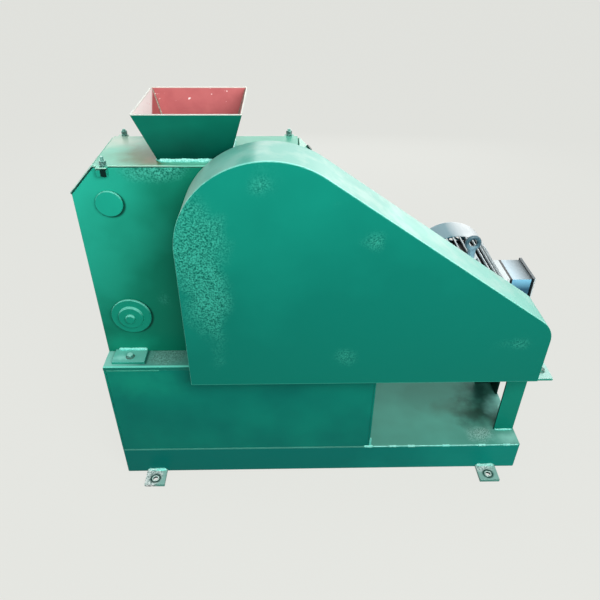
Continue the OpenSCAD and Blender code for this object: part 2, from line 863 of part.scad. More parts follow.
// two belts as fixed loops: an arc on each pulley and two straight runs
module drive_belts() {
    run = centre_distance * sin(belt_turn);
    color(rubber) for (place = belt_places) upright(belt_y - place) {
        translate([shaft_x, shaft_z]) rotate(centre_angle + belt_turn)
            rotate_extrude(angle = 360 - 2 * belt_turn) belt_section(belt_back_large);
        translate([motor_x, motor_z]) rotate(centre_angle - belt_turn)
            rotate_extrude(angle = 2 * belt_turn) belt_section(belt_back_small);
        translate([shaft_x, shaft_z]) rotate(centre_angle + belt_turn)
            rotate([90, 0, 0]) linear_extrude(run) belt_section(belt_back_large);
        translate([motor_x, motor_z]) rotate(centre_angle - belt_turn)
            rotate([90, 0, 0]) linear_extrude(run) belt_section(belt_back_small);
    }
}

// the outline of the guard in X and Z, drawn in by the given inset, down to the given height
module guard_outline(inset, low) {
    run = guard_small_x - shaft_x;
    drop = guard_small_z - shaft_z;
    tilt = atan2(drop, run) + acos((guard_radius - guard_small_radius) / sqrt(run * run + drop * drop));
    large = guard_radius - inset;
    small = guard_small_radius - inset;
    polygon([[guard_left + inset, low], [guard_right_x - inset, low], [guard_right_x - inset, guard_small_z],
        [guard_small_x + small * cos(tilt), guard_small_z + small * sin(tilt)],
        [shaft_x + large * cos(tilt), shaft_z + large * sin(tilt)], [shaft_x, shaft_z],
        [guard_left + inset, shaft_z]]);
    translate([shaft_x, shaft_z]) circle(r = large, $fn = 180);
    translate([guard_small_x, guard_small_z]) circle(r = small);
}

// the flat front of the guard hangs down to the underside of the motor plate
module guard_front() {
    color(paint) upright(guard_front_y + guard_sheet) linear_extrude(guard_sheet)
        guard_outline(0, motor_plate_top - motor_plate_thickness);
}

// the bent band stands on the deck at the left and on the motor plate at the right, open below and behind
module guard_band() {
    color(paint) difference() {
        upright(-outer_half) linear_extrude(guard_depth - guard_sheet) difference() {
            guard_outline(0, motor_plate_top);
            guard_outline(guard_sheet, motor_plate_top - cut);
        }
        block([guard_left - cut, guard_front_y - cut, motor_plate_top - cut],
            [box_right_face, -outer_half + cut, deck_top]);
    }
}

// the plate under the motor and the right end of the guard, behind the guard's front
module motor_plate() {
    low = [box_right_face, guard_front_y + guard_sheet, motor_plate_top - motor_plate_thickness];
    color(pale_paint) difference() {
        block(low, [motor_plate_right, base_rear, motor_plate_top]);
        motor_bolts(low[2] - cut, motor_plate_top + cut);
    }
}

// upright cylinders at the bolts of the motor's feet
module motor_bolts(low, high) {
    for (sx = [-1, 1], sy = [-1, 1])
        translate([motor_x + sx * foot_hole_across / 2, motor_foot_y + sy * foot_hole_along / 2, low])
            cylinder(d = foot_hole - 1, h = high - low);
}

// an angle post at the right end, its corner outwards
module post() {
    right = base_right - motor_plate_inset;
    front = -post_distance / 2;
    top = motor_plate_top - motor_plate_thickness;
    color(paint) {
        block([right - post_width, front, floor_top], [right, front + post_thickness, top]);
        block([right - post_thickness, front, floor_top], [right, front + post_width, top]);
    }
}

module motor_posts() {
    post();
    mirror([0, 1, 0]) post();
}

// straight fins along the housing, none between its feet
module cooling_fins() {
    root = housing_diameter / 2 - 4;
    translate([motor_x, 0, motor_z]) upright(housing_rear) linear_extrude(housing_length)
        for (i = [0:fin_count - 1]) {
            turn = i * 360 / fin_count;
            if (sin(turn) > -0.45)
                rotate(turn) translate([root, -fin_thickness / 2]) square([fin_diameter / 2 - root, fin_thickness]);
        }
}

// the finned housing with its cast feet, solid inside
module motor_housing() {
    foot_half = foot_hole_across / 2 + motor_foot_width / 2;
    foot_run = foot_hole_along + 2 * motor_foot_end;
    color(motor_paint) {
        translate([motor_x, housing_rear, motor_z]) rotate([90, 0, 0])
            cylinder(d = housing_diameter, h = housing_length);
        difference() {
            cooling_fins();
            terminal_block();
        }
        translate([motor_x, motor_foot_y, motor_z])
            cylinder(d = eye_boss, h = fin_diameter / 2);
        difference() {
            union() {
                for (side = [0, 1]) translate([motor_x, motor_foot_y, motor_plate_top]) mirror([side, 0, 0]) {
                    translate([foot_half - motor_foot_width, -foot_run / 2, 0])
                        cube([motor_foot_width, foot_run, motor_foot_thickness]);
                    translate([foot_half - motor_foot_width, -foot_run / 2, 0])
                        cube([motor_foot_web, foot_run, motor_height - housing_diameter / 4]);
                }
            }
            translate([motor_x, housing_rear + motor_height, motor_z]) rotate([90, 0, 0])
                cylinder(d = housing_diameter, h = housing_length + 2 * motor_height);
            motor_bolts(motor_plate_top - cut, motor_plate_top + motor_height);
            terminal_block();
        }
    }
}

// the drive end shield, from the housing to the shaft's shoulder
module motor_shield() {
    rim = housing_diameter / 2 + fin_height / 3;
    slope_end = shield_length - shield_hub_length;
    color(motor_paint) along_y(motor_x, housing_front, motor_z) difference() {
        polygon([[0, 0], [rim, 0], [rim, shield_rim], [rim - fin_height, (shield_rim + slope_end) / 2],
            [shield_hub / 2, slope_end], [shield_hub / 2, shield_length], [0, shield_length]]);
        translate([-cut, shield_length / 2])
            square([motor_shaft_diameter / 2 + bore_clearance + cut, shield_length]);
    }
}

// the cowl over the fan, a cup with rings of slots in its rear
module fan_cowl() {
    radius = cowl_diameter / 2;
    color(motor_paint) difference() {
        along_y(motor_x, cowl_rear, motor_z) difference() {
            cup(radius, cowl_length, cowl_edge);
            translate([0, cowl_sheet]) cup(radius - cowl_sheet, cowl_length, cowl_edge - cowl_sheet);
        }
        translate([motor_x, cowl_rear + cut, motor_z]) rotate([90, 0, 0])
            for (turn = [0:45:315], ring = [grille_first:grille_step:radius - cowl_edge - grille_step])
                rotate(turn + 5) rotate_extrude(angle = 35)
                    translate([ring, 0]) square([grille_step / 2, cowl_sheet + 2 * cut]);
    }
}

// half the section of a cup: closed at distance 0, with a round edge there
module cup(radius, length, edge) {
    translate([0, edge]) square([radius, length - edge]);
    square([radius - edge, length]);
    intersection() {
        translate([radius - edge, edge]) circle(r = edge);
        square([radius, length]);
    }
}

module motor_shaft() {
    color(steel) along_y(motor_x, shoulder_y + shield_length / 2, motor_z)
        square([motor_shaft_diameter / 2, motor_shaft_length + shield_length / 2]);
}

// the body of the terminal box, from inside the housing to its lid
module terminal_block() {
    half = terminal_size / 2;
    block([motor_x + housing_diameter / 4, terminal_y - half, terminal_z - half],
        [terminal_lid_x, terminal_y + half, terminal_z + half]);
}

// the terminal box on the motor's right, with its lid
module terminal_box() {
    half = terminal_size / 2 + terminal_lid_lap;
    color(motor_paint) {
        difference() {
            terminal_block();
            translate([motor_x, housing_rear + cut, motor_z]) rotate([90, 0, 0])
                cylinder(d = housing_diameter, h = housing_length + 2 * cut);
        }
        block([terminal_lid_x, terminal_y - half, terminal_z - half],
            [terminal_lid_x + terminal_lid_thickness, terminal_y + half, terminal_z + half]);
    }
}

// a ring on a round foot, on the boss of the housing
module lifting_eye() {
    foot = motor_z + fin_diameter / 2;
    ring = motor_z + fin_diameter / 2 + eye_lift + eye_bar + eye_radius;
    color(motor_paint) {
        translate([motor_x, motor_foot_y, foot]) cylinder(d = eye_foot, h = ring - eye_radius - foot);
        translate([motor_x, motor_foot_y, ring]) rotate([90, 0, 0]) rotate_extrude()
            translate([eye_radius, 0]) circle(r = eye_bar);
    }
}

front_rail();
rear_rail();
left_rail();
right_rail();
floor_plate();
anchor_lugs();
box_front();
box_rear();
box_ends();
deck_plate();
sample_drawer();
front_side_plate();
rear_side_plate();
left_end_wall();
right_end_wall();
cover_gasket();
corner_plates();
cover_plate();
clamp_lugs();
body_feet();
hopper_front();
hopper_rear();
hopper_left();
hopper_right();
fixed_jaw_block();
fixed_jaw_plate();
moving_jaw();
moving_jaw_plate();
upper_pin();
lower_pin();
crank_shaft();
bearings();
flywheel();
drive_belts();
guard_front();
guard_band();
motor_plate();
motor_posts();
motor_pulley();
motor_housing();
motor_shield();
fan_cowl();
motor_shaft();
terminal_box();
lifting_eye();
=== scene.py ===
"""A sealed laboratory jaw crusher: channel base, sheet box, body with a hopper, belt guard and motor.

Lengths are in metres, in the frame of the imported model: X along the base towards the motor, Y to the rear,
Z up.
"""

import bpy
import numpy as np
from mathutils import Matrix, Vector


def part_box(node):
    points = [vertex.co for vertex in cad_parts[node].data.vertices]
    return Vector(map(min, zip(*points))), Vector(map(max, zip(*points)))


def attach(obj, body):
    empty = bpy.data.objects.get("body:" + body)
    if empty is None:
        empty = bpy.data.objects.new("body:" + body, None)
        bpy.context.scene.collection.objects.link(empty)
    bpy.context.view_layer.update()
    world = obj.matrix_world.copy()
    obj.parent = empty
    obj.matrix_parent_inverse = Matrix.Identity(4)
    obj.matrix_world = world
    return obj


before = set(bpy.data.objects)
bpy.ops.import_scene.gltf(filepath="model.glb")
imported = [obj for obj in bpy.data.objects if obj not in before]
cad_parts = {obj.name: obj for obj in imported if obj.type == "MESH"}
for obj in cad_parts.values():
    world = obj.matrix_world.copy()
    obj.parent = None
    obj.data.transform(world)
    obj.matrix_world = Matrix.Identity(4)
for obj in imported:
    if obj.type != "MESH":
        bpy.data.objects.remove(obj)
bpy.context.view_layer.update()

# Base rails.
# Four lengths of rolled steel channel, mitred at the corners, welded into a frame and sprayed with green
# gloss enamel.


def linear(code):
    """The linear colour of an sRGB hex value.

    Each channel c becomes ((c + 0.055) / 1.055) ** 2.4, or c / 12.92 where it is dark.
    """
    c = np.array([int(code[i:i + 2], 16) for i in (1, 3, 5)]) / 255
    return (*np.where(c > 0.04045, ((c + 0.055) / 1.055) ** 2.4, c / 12.92).tolist(), 1.0)


def add(tree, kind, inputs=(), **settings):
    """Adds one shader node; inputs maps its sockets to values, or to the outputs that feed them.

    A node in place of an output stands for the first of its outputs.
    """
    made = tree.nodes.new("ShaderNode" + kind)
    for key, value in settings.items():
        setattr(made, key, value)
    for key, value in dict(inputs).items():
        if isinstance(value, bpy.types.Node):
            value = value.outputs[0]
        if isinstance(value, bpy.types.NodeSocket):
            tree.links.new(value, made.inputs[key])
        else:
            made.inputs[key].default_value = value
    return made


def distance(finish, middle, weight):
    """How far a place on a finish is from the middle, with the parts along X, Y and Z times the weight."""
    tree = finish.node_tree
    place = add(tree, "TexCoord").outputs["Object"]
    away = add(tree, "VectorMath", {0: place, 1: middle}, operation="SUBTRACT")
    away = add(tree, "VectorMath", {0: away, 1: weight}, operation="MULTIPLY")
    return add(tree, "VectorMath", {0: away}, operation="LENGTH").outputs["Value"]


def turned(finish, axis, start, end, most=1.0, either_way=False):
    """A share from 0 to most, as the part of the surface's normal along an axis goes from start to end."""
    tree = finish.node_tree
    normal = add(tree, "NewGeometry").outputs["Normal"]
    part = add(tree, "SeparateXYZ", {"Vector": normal}).outputs[axis]
    if either_way:
        part = add(tree, "Math", {0: part}, operation="ABSOLUTE")
    return add(tree, "MapRange", {"Value": part, "From Min": start, "From Max": end, "To Max": most})


def enamel(name, tone, shade, light, dark, stipple=0.3, patch=(0.40, 0.72), wet_spots=(), fade=None,
           dust_and_sheen=0.1, tilt=(0.2, 0.95), film="#b9cfc0", gloss=0.06):
    """Sprayed alkyd enamel: a glossy skin, clouded where coats overlap, pebbled where it went on too wet.

    The colour goes from tone to shade with 150 mm clouds, and across the sheet where fade gives a direction
    and the distances along it where the colour is all tone and where it is all shade; the fade is mostly
    painted light and shade. How wet a place was is half of a 60 mm noise, plus each wet spot's amount times
    one minus the distance from its middle, counted in its reach along X, Y and Z. Patch gives how wet
    a place is where pebbles start and where they are full. There 3 mm pebbles swing the colour from dark to
    light and raise the skin. A pale film lies where the surface looks up, dusty and brightened by a
    painted sheen of the sky: tilt gives the upward parts of the normal where it starts and where it is full.
    """
    made = bpy.data.materials.new(name)
    made.use_nodes = True
    tree = made.node_tree
    tree.nodes.clear()
    place = add(tree, "TexCoord").outputs["Object"]
    cloud = add(tree, "TexNoise", {"Vector": place, "Scale": 1 / 0.15, "Detail": 3.0})
    clouded = add(tree, "MapRange", {"Value": cloud, "From Min": 0.36, "From Max": 0.66})
    if fade:
        # full and thin are the places along the direction where the colour is all tone and all shade: painted
        # light and shade
        direction, full, thin = fade
        along = add(tree, "VectorMath", {0: place, 1: direction}, operation="DOT_PRODUCT").outputs["Value"]
        toward_shade = add(tree, "MapRange", {"Value": along, "From Min": full, "From Max": thin})
        clouded = add(tree, "Math", {0: clouded, 1: 0.35}, operation="MULTIPLY")
        clouded = add(tree, "Math", {0: toward_shade, 1: clouded}, operation="ADD", use_clamp=True)
    coat = add(tree, "Mix", {0: clouded, 6: linear(tone), 7: linear(shade)}, data_type="RGBA").outputs[2]

    wet = add(tree, "TexNoise", {"Vector": place, "Scale": 1 / 0.06, "Detail": 4.0})
    wet = add(tree, "Math", {0: wet, 1: 0.5}, operation="MULTIPLY")
    for middle, reach, amount in wet_spots:
        away = distance(made, middle, [1 / length for length in reach])
        near = add(tree, "MapRange", {"Value": away, "To Min": amount, "To Max": 0.0})
        wet = add(tree, "Math", {0: wet, 1: near}, operation="ADD")
    wet = add(tree, "MapRange", {"Value": wet, "From Min": patch[0], "From Max": patch[1]},
              interpolation_type="SMOOTHSTEP")
    pebble = add(tree, "TexNoise", {"Vector": place, "Scale": 1 / 0.0032, "Detail": 1.5})
    crest = add(tree, "MapRange", {"Value": pebble, "From Min": 0.34, "From Max": 0.66})
    pebbles = add(tree, "Mix", {0: crest, 6: linear(dark), 7: linear(light)}, data_type="RGBA").outputs[2]
    share = add(tree, "Math", {0: wet, 1: stipple}, operation="MULTIPLY")
    coat = add(tree, "Mix", {0: share, 6: coat, 7: pebbles}, data_type="RGBA").outputs[2]
    # a pale film where the surface looks up: dusty, and brightened by a painted sheen of the sky
    sheen_and_dust_share = turned(made, "Z", *tilt, dust_and_sheen)
    coat = add(tree, "Mix", {0: sheen_and_dust_share, 6: coat, 7: linear(film)}, data_type="RGBA").outputs[2]

    # fine orange peel of 2 mm everywhere, the pebbles on top of it
    peel = add(tree, "TexNoise", {"Vector": place, "Scale": 1 / 0.002, "Detail": 1.0})
    skin = add(tree, "Bump", {"Strength": 0.10, "Distance": 0.0002, "Height": peel})
    deep = add(tree, "Math", {0: wet, 1: pebble}, operation="MULTIPLY")
    skin = add(tree, "Bump", {"Strength": 0.5, "Distance": 0.0006, "Height": deep, "Normal": skin})
    rough = add(tree, "MapRange", {"Value": cloud, "To Min": 0.22, "To Max": 0.42})
    shader = add(tree, "BsdfPrincipled", {"Base Color": coat, "Roughness": rough, "Normal": skin, "IOR": 1.5,
                                          "Specular IOR Level": gloss})
    add(tree, "OutputMaterial", {"Surface": shader})
    return made


def dress(names, finish, edge=0.0):
    """Gives CAD nodes their finish; edge is the radius that rolling, grinding and paint leave on corners."""
    for name in names.split():
        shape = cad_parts[name]
        shape.data.materials.clear()
        shape.data.materials.append(finish)
        if edge:
            shape.modifiers.new("joined", "WELD").merge_threshold = 0.00002
            flat = shape.modifiers.new("flat faces", "DECIMATE")
            flat.decimate_type = "DISSOLVE"
            flat.angle_limit = 0.01
            rounded = shape.modifiers.new("rounded", "BEVEL")
            rounded.width = edge
            rounded.segments = 2
            rounded.limit_method = "ANGLE"
            rounded.angle_limit = 0.7
            rounded.harden_normals = True


# deep blue-green gloss, darker towards the left
rail_paint = enamel("gloss enamel on rolled channel", "#0a8c7d", "#036f65", "#2f9a88", "#034a42",
                    stipple=0.25, fade=((-1, 0, 0), -0.42, 0.05))
dress("front_rail rear_rail left_rail right_rail", rail_paint, 0.002)

# Floor plate.
# A steel sheet laid on the rails and stitched down with short welds; dust and grit have dulled its paint.
floor_low, floor_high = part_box("floor_plate")
floor_top = floor_high[2]
# chalky grey-green, gritty in front of the post
floor_paint = enamel("dulled enamel on the floor plate", "#429d8c", "#378b7b", "#b5e2d8", "#2f6a5e",
                     stipple=0.55, dust_and_sheen=0.08, gloss=0.10,
                     wet_spots=(((0.415, -0.10, floor_top), (0.08, 0.06, 0.05), 0.45),))


def over(finish, code, *shares):
    """Lays a second colour over a finish, as much of it as the product of the shares says."""
    tree = finish.node_tree
    share = shares[0]
    for other in shares[1:]:
        share = add(tree, "Math", {0: share, 1: other}, operation="MULTIPLY")
    shader = next(node for node in tree.nodes if node.type == "BSDF_PRINCIPLED")
    under = shader.inputs["Base Color"].links[0].from_socket
    coat = add(tree, "Mix", {0: share, 6: under, 7: linear(code)}, data_type="RGBA").outputs[2]
    tree.links.new(coat, shader.inputs["Base Color"])


def lay_blot(finish, code, middle, reach, most, pitch=0.04):
    """Lays a blot of colour over a finish.

    Its share is most in the middle and fades out at the reach along X, Y and Z, with an edge frayed by noise
    of the pitch.
    """
    tree = finish.node_tree
    place = add(tree, "TexCoord").outputs["Object"]
    frayed = add(tree, "TexNoise", {"Vector": place, "Scale": 1 / pitch, "Detail": 4.0})
    away = distance(finish, middle, [1 / length for length in reach])
    away = add(tree, "Math", {0: away, 1: frayed}, operation="ADD")
    limits = {"Value": away, "From Min": 0.5, "From Max": 1.4, "To Min": most, "To Max": 0.0}
    over(finish, code, add(tree, "MapRange", limits, interpolation_type="SMOOTHSTEP"))


# the paint is rubbed pale in the right corner, and behind it lies a painted reflection of the sky;
# painted shade darkens the rear, and with a brown tint the floor below the motor
lay_blot(floor_paint, "#a5e8da", (0.480, -0.115, floor_top), (0.060, 0.035, 0.1), 0.55)
lay_blot(floor_paint, "#153f38", (0.446, 0.045, floor_top), (0.080, 0.135, 0.1), 0.85)
lay_blot(floor_paint, "#3a4438", (0.345, -0.010, floor_top), (0.090, 0.050, 0.1), 0.35)
lay_blot(floor_paint, "#223a30", (0.408, -0.036, floor_top), (0.092, 0.078, 0.1), 0.85)
lay_blot(floor_paint, "#a8fff0", (0.492, -0.008, floor_top), (0.060, 0.070, 0.1), 1.0)
dress("floor_plate", floor_paint, 0.001)

# Anchor lugs.
# Flat steel bars welded to the feet of the rails, each with a drilled hole for a ground bolt; the paint is
# thin and scuffed on top.
low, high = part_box("anchor_lugs")
lug_top = high[2]
lug_width, hole_reach = 0.050, 0.029
rail_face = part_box("front_rail")[0][1]
hole_x, hole_y = high[0] - lug_width / 2, hole_reach - rail_face
# grey-green under a pale film, spattered beside the welds
lug_paint = enamel("scuffed enamel on the anchor lugs", "#5a9d90", "#428577", "#ffffff", "#0c2f29",
                   stipple=1.0, dust_and_sheen=0.35, film="#c5e6df", gloss=0.25,
                   wet_spots=(((-0.438, -0.158, lug_top), (0.045, 0.05, 0.05), 1.0),
                              ((0.415, -0.150, lug_top), (0.05, 0.03, 0.05), 0.5)))
# painted shade darkens a ring of 30 mm round each hole; the four holes are mirror images of each other
tree = lug_paint.node_tree
place = add(tree, "TexCoord").outputs["Object"]
away = add(tree, "VectorMath", {0: place}, operation="ABSOLUTE")
away = add(tree, "VectorMath", {0: away, 1: (hole_x, hole_y, 0.0)}, operation="SUBTRACT")
away = add(tree, "VectorMath", {0: away, 1: (1, 1, 0)}, operation="MULTIPLY")
away = add(tree, "VectorMath", {0: away}, operation="LENGTH").outputs["Value"]
limits = {"Value": away, "From Min": 0.0120, "From Max": 0.0165, "To Min": 0.95, "To Max": 0.0}
over(lug_paint, "#0d3d35", add(tree, "MapRange", limits))
dress("anchor_lugs", lug_paint, 0.0012)


def bead(path, size, lean, pitch=0.0045):
    """A weld bead: an oval carried along a path.

    Its radius swells once per ripple, wanders slowly along the run and shrinks to nothing at both ends; each
    ring is drawn back in the middle, so that the ripples are crescents. Lean points out of the corner that
    the bead fills.
    """
    step = np.gradient(path, axis=0)
    gap = np.linalg.norm(step, axis=1)
    s = np.cumsum(gap) - gap[0]
    along = step / gap[:, None]
    out = np.broadcast_to(np.array(lean, float), path.shape)
    out = out - (out * along).sum(1, keepdims=True) * along
    out = out / np.linalg.norm(out, axis=1, keepdims=True)
    side = np.cross(along, out)
    seed = 1000 * (path[0].sum() + 2 * path[-1].sum())
    ripple = 0.06 * np.cos(2 * np.pi * s / pitch)
    wander = 0.10 * np.sin(s / 0.006 + seed) + 0.05 * np.sin(s / 0.0023 + 2 * seed)
    closed = np.sqrt(np.clip(np.minimum(s, s[-1] - s) / (1.5 * size), 0, 1))
    radius = (size * (1 + ripple + wander) * closed)[:, None, None]
    a = np.linspace(0, 2 * np.pi, 12, endpoint=False)[:, None]
    drawn = -0.25 * radius * np.cos(a) ** 2 * along[:, None]
    return path[:, None] + drawn + radius * (np.cos(a) * out[:, None] + 1.3 * np.sin(a) * side[:, None])


def weld_run(start, end, size, lean, pitch=0.0045):
    """A straight bead from start to end, with a ring about every 1.1 mm."""
    start, end = np.array(start, float), np.array(end, float)
    count = max(int(np.linalg.norm(end - start) / 0.0011), 10)
    return bead(start + np.linspace(0, 1, count)[:, None] * (end - start), size, lean, pitch)


def joined(grids):
    """Vertices and faces of several grids of rings, each ring closed and its ends capped."""
    points, faces, base = [], [], 0
    for rings in grids:
        rows, around = rings.shape[:2]
        i, j = np.meshgrid(np.arange(rows - 1), np.arange(around), indexing="ij")
        here, after = i * around, (i + 1) * around
        k = (j + 1) % around
        quads = np.stack([here + j, here + k, after + k, after + j], axis=-1).reshape(-1, 4)
        first = np.arange(around)
        points.append(rings.reshape(-1, 3))
        faces += (base + quads).tolist()
        faces += [(base + first)[::-1].tolist(), (base + (rows - 1) * around + first).tolist()]
        base += rows * around
    return np.concatenate(points), faces


def piece(name, points, faces, finish, slot, smooth=True):
    """A new mesh piece that stands on the machine."""
    mesh = bpy.data.meshes.new(name)
    mesh.from_pydata(points.tolist(), [], faces)
    mesh.polygons.foreach_set("use_smooth", np.full(len(mesh.polygons), smooth))
    mesh.materials.append(finish)
    shown = bpy.data.objects.new(name, mesh)
    bpy.context.scene.collection.objects.link(shown)
    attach(shown, "root")
    return shown


# a patch that starts this low covers the whole piece with pebbles
all_over = (0.16, 0.30)
# bright mint, partly a painted reflection of the sky, with white crests
weld_paint = enamel("gloss enamel over weld beads", "#5fdccb", "#48c0ae", "#c8fbf2", "#2a9a89", stipple=0.4,
                    patch=all_over, dust_and_sheen=0.5, film="#b5fff2", gloss=0.4)
# the same with a coarser, nearly white speckle
spatter = enamel("gloss enamel over spattered welds", "#6fe6d4", "#4fc4b2", "#effffb", "#1f7f70",
                 stipple=0.8, patch=all_over, dust_and_sheen=0.3, film="#b5fff2", gloss=0.4)
grids = []
for x in (low[0], high[0] - lug_width):
    for face, side in ((rail_face, -1), (-rail_face, 1)):
        start = (x + 0.001, face + side * 0.002, lug_top)
        end = (x + lug_width - 0.001, face + side * 0.002, lug_top)
        grids.append(weld_run(start, end, 0.0034, (0, side, 1)))
piece("lug_welds", *joined(grids), spatter, "worn_green_paint")
# the drill has left a burr round each hole
burr_radius, burr_points = 0.0076, 90
turn = np.linspace(0, 2.04 * np.pi, burr_points)
ring = burr_radius * np.stack([np.cos(turn), np.sin(turn), np.zeros(burr_points)], axis=1)
grids = []
for x in (-hole_x, hole_x):
    for y in (-hole_y, hole_y):
        grids.append(bead(ring + (x, y, lug_top), 0.0012, (0, 0, 1), 0.003))
# pale, nearly bare, with a little green left
burr_paint = enamel("enamel worn bright on the burrs", "#cfe9e3", "#a9d3ca", "#f6fbf9", "#5b9488",
                    stipple=0.5, patch=all_over, gloss=0.4)
piece("hole_burrs", *joined(grids), burr_paint, "worn_green_paint")

# Box walls and deck.
# Steel sheet walls welded to the floor plate, with a thicker deck plate on top that carries the crusher body.
# an even, dark green gloss
box_paint = enamel("gloss enamel on the box walls", "#067c6b", "#046d61", "#2b937f", "#045246", stipple=0.2)
# the front is a lighter green at its upper left
lay_blot(box_paint, "#139a7d", (-0.440, -0.135, 0.315), (0.16, 0.05, 0.08), 0.5)
dress("box_front box_rear box_ends", box_paint, 0.0012)


def strip(finish, axis, start, end, first=0.0, last=1.0):
    """A share that goes from first to last between two places along an axis of the machine."""
    tree = finish.node_tree
    place = add(tree, "TexCoord").outputs["Object"]
    along = add(tree, "SeparateXYZ", {"Vector": place}).outputs[axis]
    limits = {"Value": along, "From Min": start, "From Max": end, "To Min": first, "To Max": last}
    return add(tree, "MapRange", limits)


deck_front, deck_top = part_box("deck_plate")[0][1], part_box("deck_plate")[1][2]
# pale at the left end, dark and pebbled beside the foot
deck_paint = enamel("pebbled enamel on the deck", "#78cabb", "#2a8276", "#74b3a6", "#17413a", stipple=0.55,
                    fade=((1, 0, 0), -0.48, -0.41), gloss=0.1,
                    wet_spots=(((-0.36, -0.10, deck_top), (0.07, 0.06, 0.05), 0.7),
                               ((-0.46, -0.135, deck_top), (0.06, 0.02, 0.05), 0.4)))
# a painted highlight lies on a strip along the front and on the rolled edge, and painted shade on the
# upright face
over(deck_paint, "#6fdcc8", strip(deck_paint, "Y", deck_front + 0.0075, deck_front + 0.0055, 0.0, 0.85))
over(deck_paint, "#35bfa9", turned(deck_paint, "Z", 0.995, 0.95))
over(deck_paint, "#0b7161", turned(deck_paint, "Z", 0.75, 0.35))
# painted shadow lies along the right side of the left foot
foot_low, foot_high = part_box("body_feet")
foot_length, foot_reach = 0.073, 0.046
foot_side = foot_low[0] + foot_length
over(deck_paint, "#0c4a40",
     strip(deck_paint, "X", foot_side + 0.006, foot_side + 0.002, 0.0, 0.8),
     strip(deck_paint, "X", foot_side - 0.02, foot_side - 0.01),
     strip(deck_paint, "Y", foot_low[1] - 0.002, foot_low[1] + 0.002))
dress("deck_plate", deck_paint, 0.0055)

low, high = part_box("box_front")
joint = (floor_low[1], floor_top - 0.001)
stitch = 0.022
grids = []
for x in (0.165, 0.212, 0.300, 0.392, 0.455):
    grids.append(weld_run((x, *joint), (x + stitch, *joint), 0.0022, (0, -1, 0.6)))
# one tack up the box's right corner, and one across its foot
corner = (high[0] + 0.006, low[1] + 0.002)
grids.append(weld_run((*corner, floor_top + 0.001), (*corner, floor_top + 0.029), 0.0026, (1, -1, 0)))
foot = (low[1], floor_top)
grids.append(weld_run((high[0] - 0.01, *foot), (high[0] + 0.014, *foot), 0.003, (0, -1, 0.5)))
# a thin bright bead in the joint between the rail and the floor plate is a painted highlight of the plate's
# edge
grids.append(weld_run((high[0], *joint), (floor_high[0] - 0.004, *joint), 0.0011, (0, -1, 0.6), 0.02))
seam = (low[1], high[2] - 0.001)
seams = [weld_run((low[0], *seam), (low[0] + 0.12, *seam), 0.0016, (0, -1, -1), 0.009)]
# a lighter green line below the deck
seam_coat = enamel("gloss enamel over the deck seam", "#1f9a82", "#14846f", "#5cc9b4", "#0a5d50", gloss=0.15)
piece("deck_seam", *joined(seams), seam_coat, "green_paint")
piece("box_welds", *joined(grids), weld_paint, "green_paint")

# Sample drawer.
# A folded steel tray that slides into the back of the box, with a bent bar for its pull; it was sprayed with
# the box.
dress("sample_drawer", box_paint, 0.0012)

# Crusher body.
# Thick steel side plates bolted to two end walls; four welded feet hold the body down on the deck.
side_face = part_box("front_side_plate")[0][1]
# lighter towards the upper left, with painted shade darkening it towards the guard; pebbled below the cover
body_paint = enamel("gloss enamel on the side plates", "#26af95", "#0d745c", "#55c8b0", "#054c40",
                    stipple=0.65, fade=((1, 0, -0.6), -0.93, -0.67),
                    wet_spots=(((-0.335, side_face, 0.795), (0.12, 0.1, 0.05), 0.55),
                               ((-0.353, side_face, 0.495), (0.045, 0.1, 0.07), 0.30)))
# painted shadow: a dark crescent below and right of the head of each pin
for pin in ("upper_pin", "lower_pin"):
    low, high = np.array(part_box(pin))
    radius = (high[2] - low[2]) / 2
    shadow_middle = (low + high) / 2 + (0.0025, 0, -0.003)
    away = distance(body_paint, shadow_middle.tolist(), (1, 0, 1))
    limits = {"Value": away, "From Min": radius - 0.001, "From Max": radius + 0.004,
              "To Min": 0.9, "To Max": 0.0}
    painted_shadow = add(body_paint.node_tree, "MapRange", limits, interpolation_type="SMOOTHSTEP")
    over(body_paint, "#06372c", painted_shadow)
# and the green is deeper above the left foot
lay_blot(body_paint, "#1a9478", (-0.455, -0.085, 0.375), (0.11, 0.05, 0.05), 0.6)
dress("front_side_plate rear_side_plate left_end_wall right_end_wall", body_paint, 0.002)
# mid green under a pale film, dusty and brightened by a painted sheen of the sky
foot_paint = enamel("gloss enamel on the feet", "#2b9c88", "#1c8472", "#6fc0af", "#0e5a4c", dust_and_sheen=0.4,
                    fade=((1, 0, 0), -0.47, -0.42), film="#8fdccf", gloss=0.15)
# boots have scraped pale streaks along the front of the left foot
lay_blot(foot_paint, "#a5e8dc", (-0.463, -0.112, foot_high[2]), (0.030, 0.016, 0.05), 0.5, 0.012)
dress("body_feet", foot_paint, 0.0012)


def fastener(place, axis, rows, turn=0.0):
    """A bolt or nut as rings along its axis.

    Each row is (radius, height, hexagon): the ring's radius at angle a is the radius times 1, or for a
    hexagon divided by cos(a mod 60 degrees - 30 degrees), so that the radius is half the width across flats.
    """
    rows = np.array(rows, float)
    a = np.linspace(0, 2 * np.pi, 36, endpoint=False)
    flat = 1 / np.cos((a + turn) % (np.pi / 3) - np.pi / 6)
    radius = rows[:, :1] * (1 + rows[:, 2:] * (flat - 1))
    axis = np.array(axis, float) / np.linalg.norm(axis)
    first = np.cross(axis, (0.0, 1.0, 0.0) if abs(axis[1]) < 0.9 else (1.0, 0.0, 0.0))
    first /= np.linalg.norm(first)
    second = np.cross(axis, first)
    spokes = np.cos(a)[:, None] * first + np.sin(a)[:, None] * second
    return np.array(place) + rows[:, 1, None, None] * axis + radius[..., None] * spokes


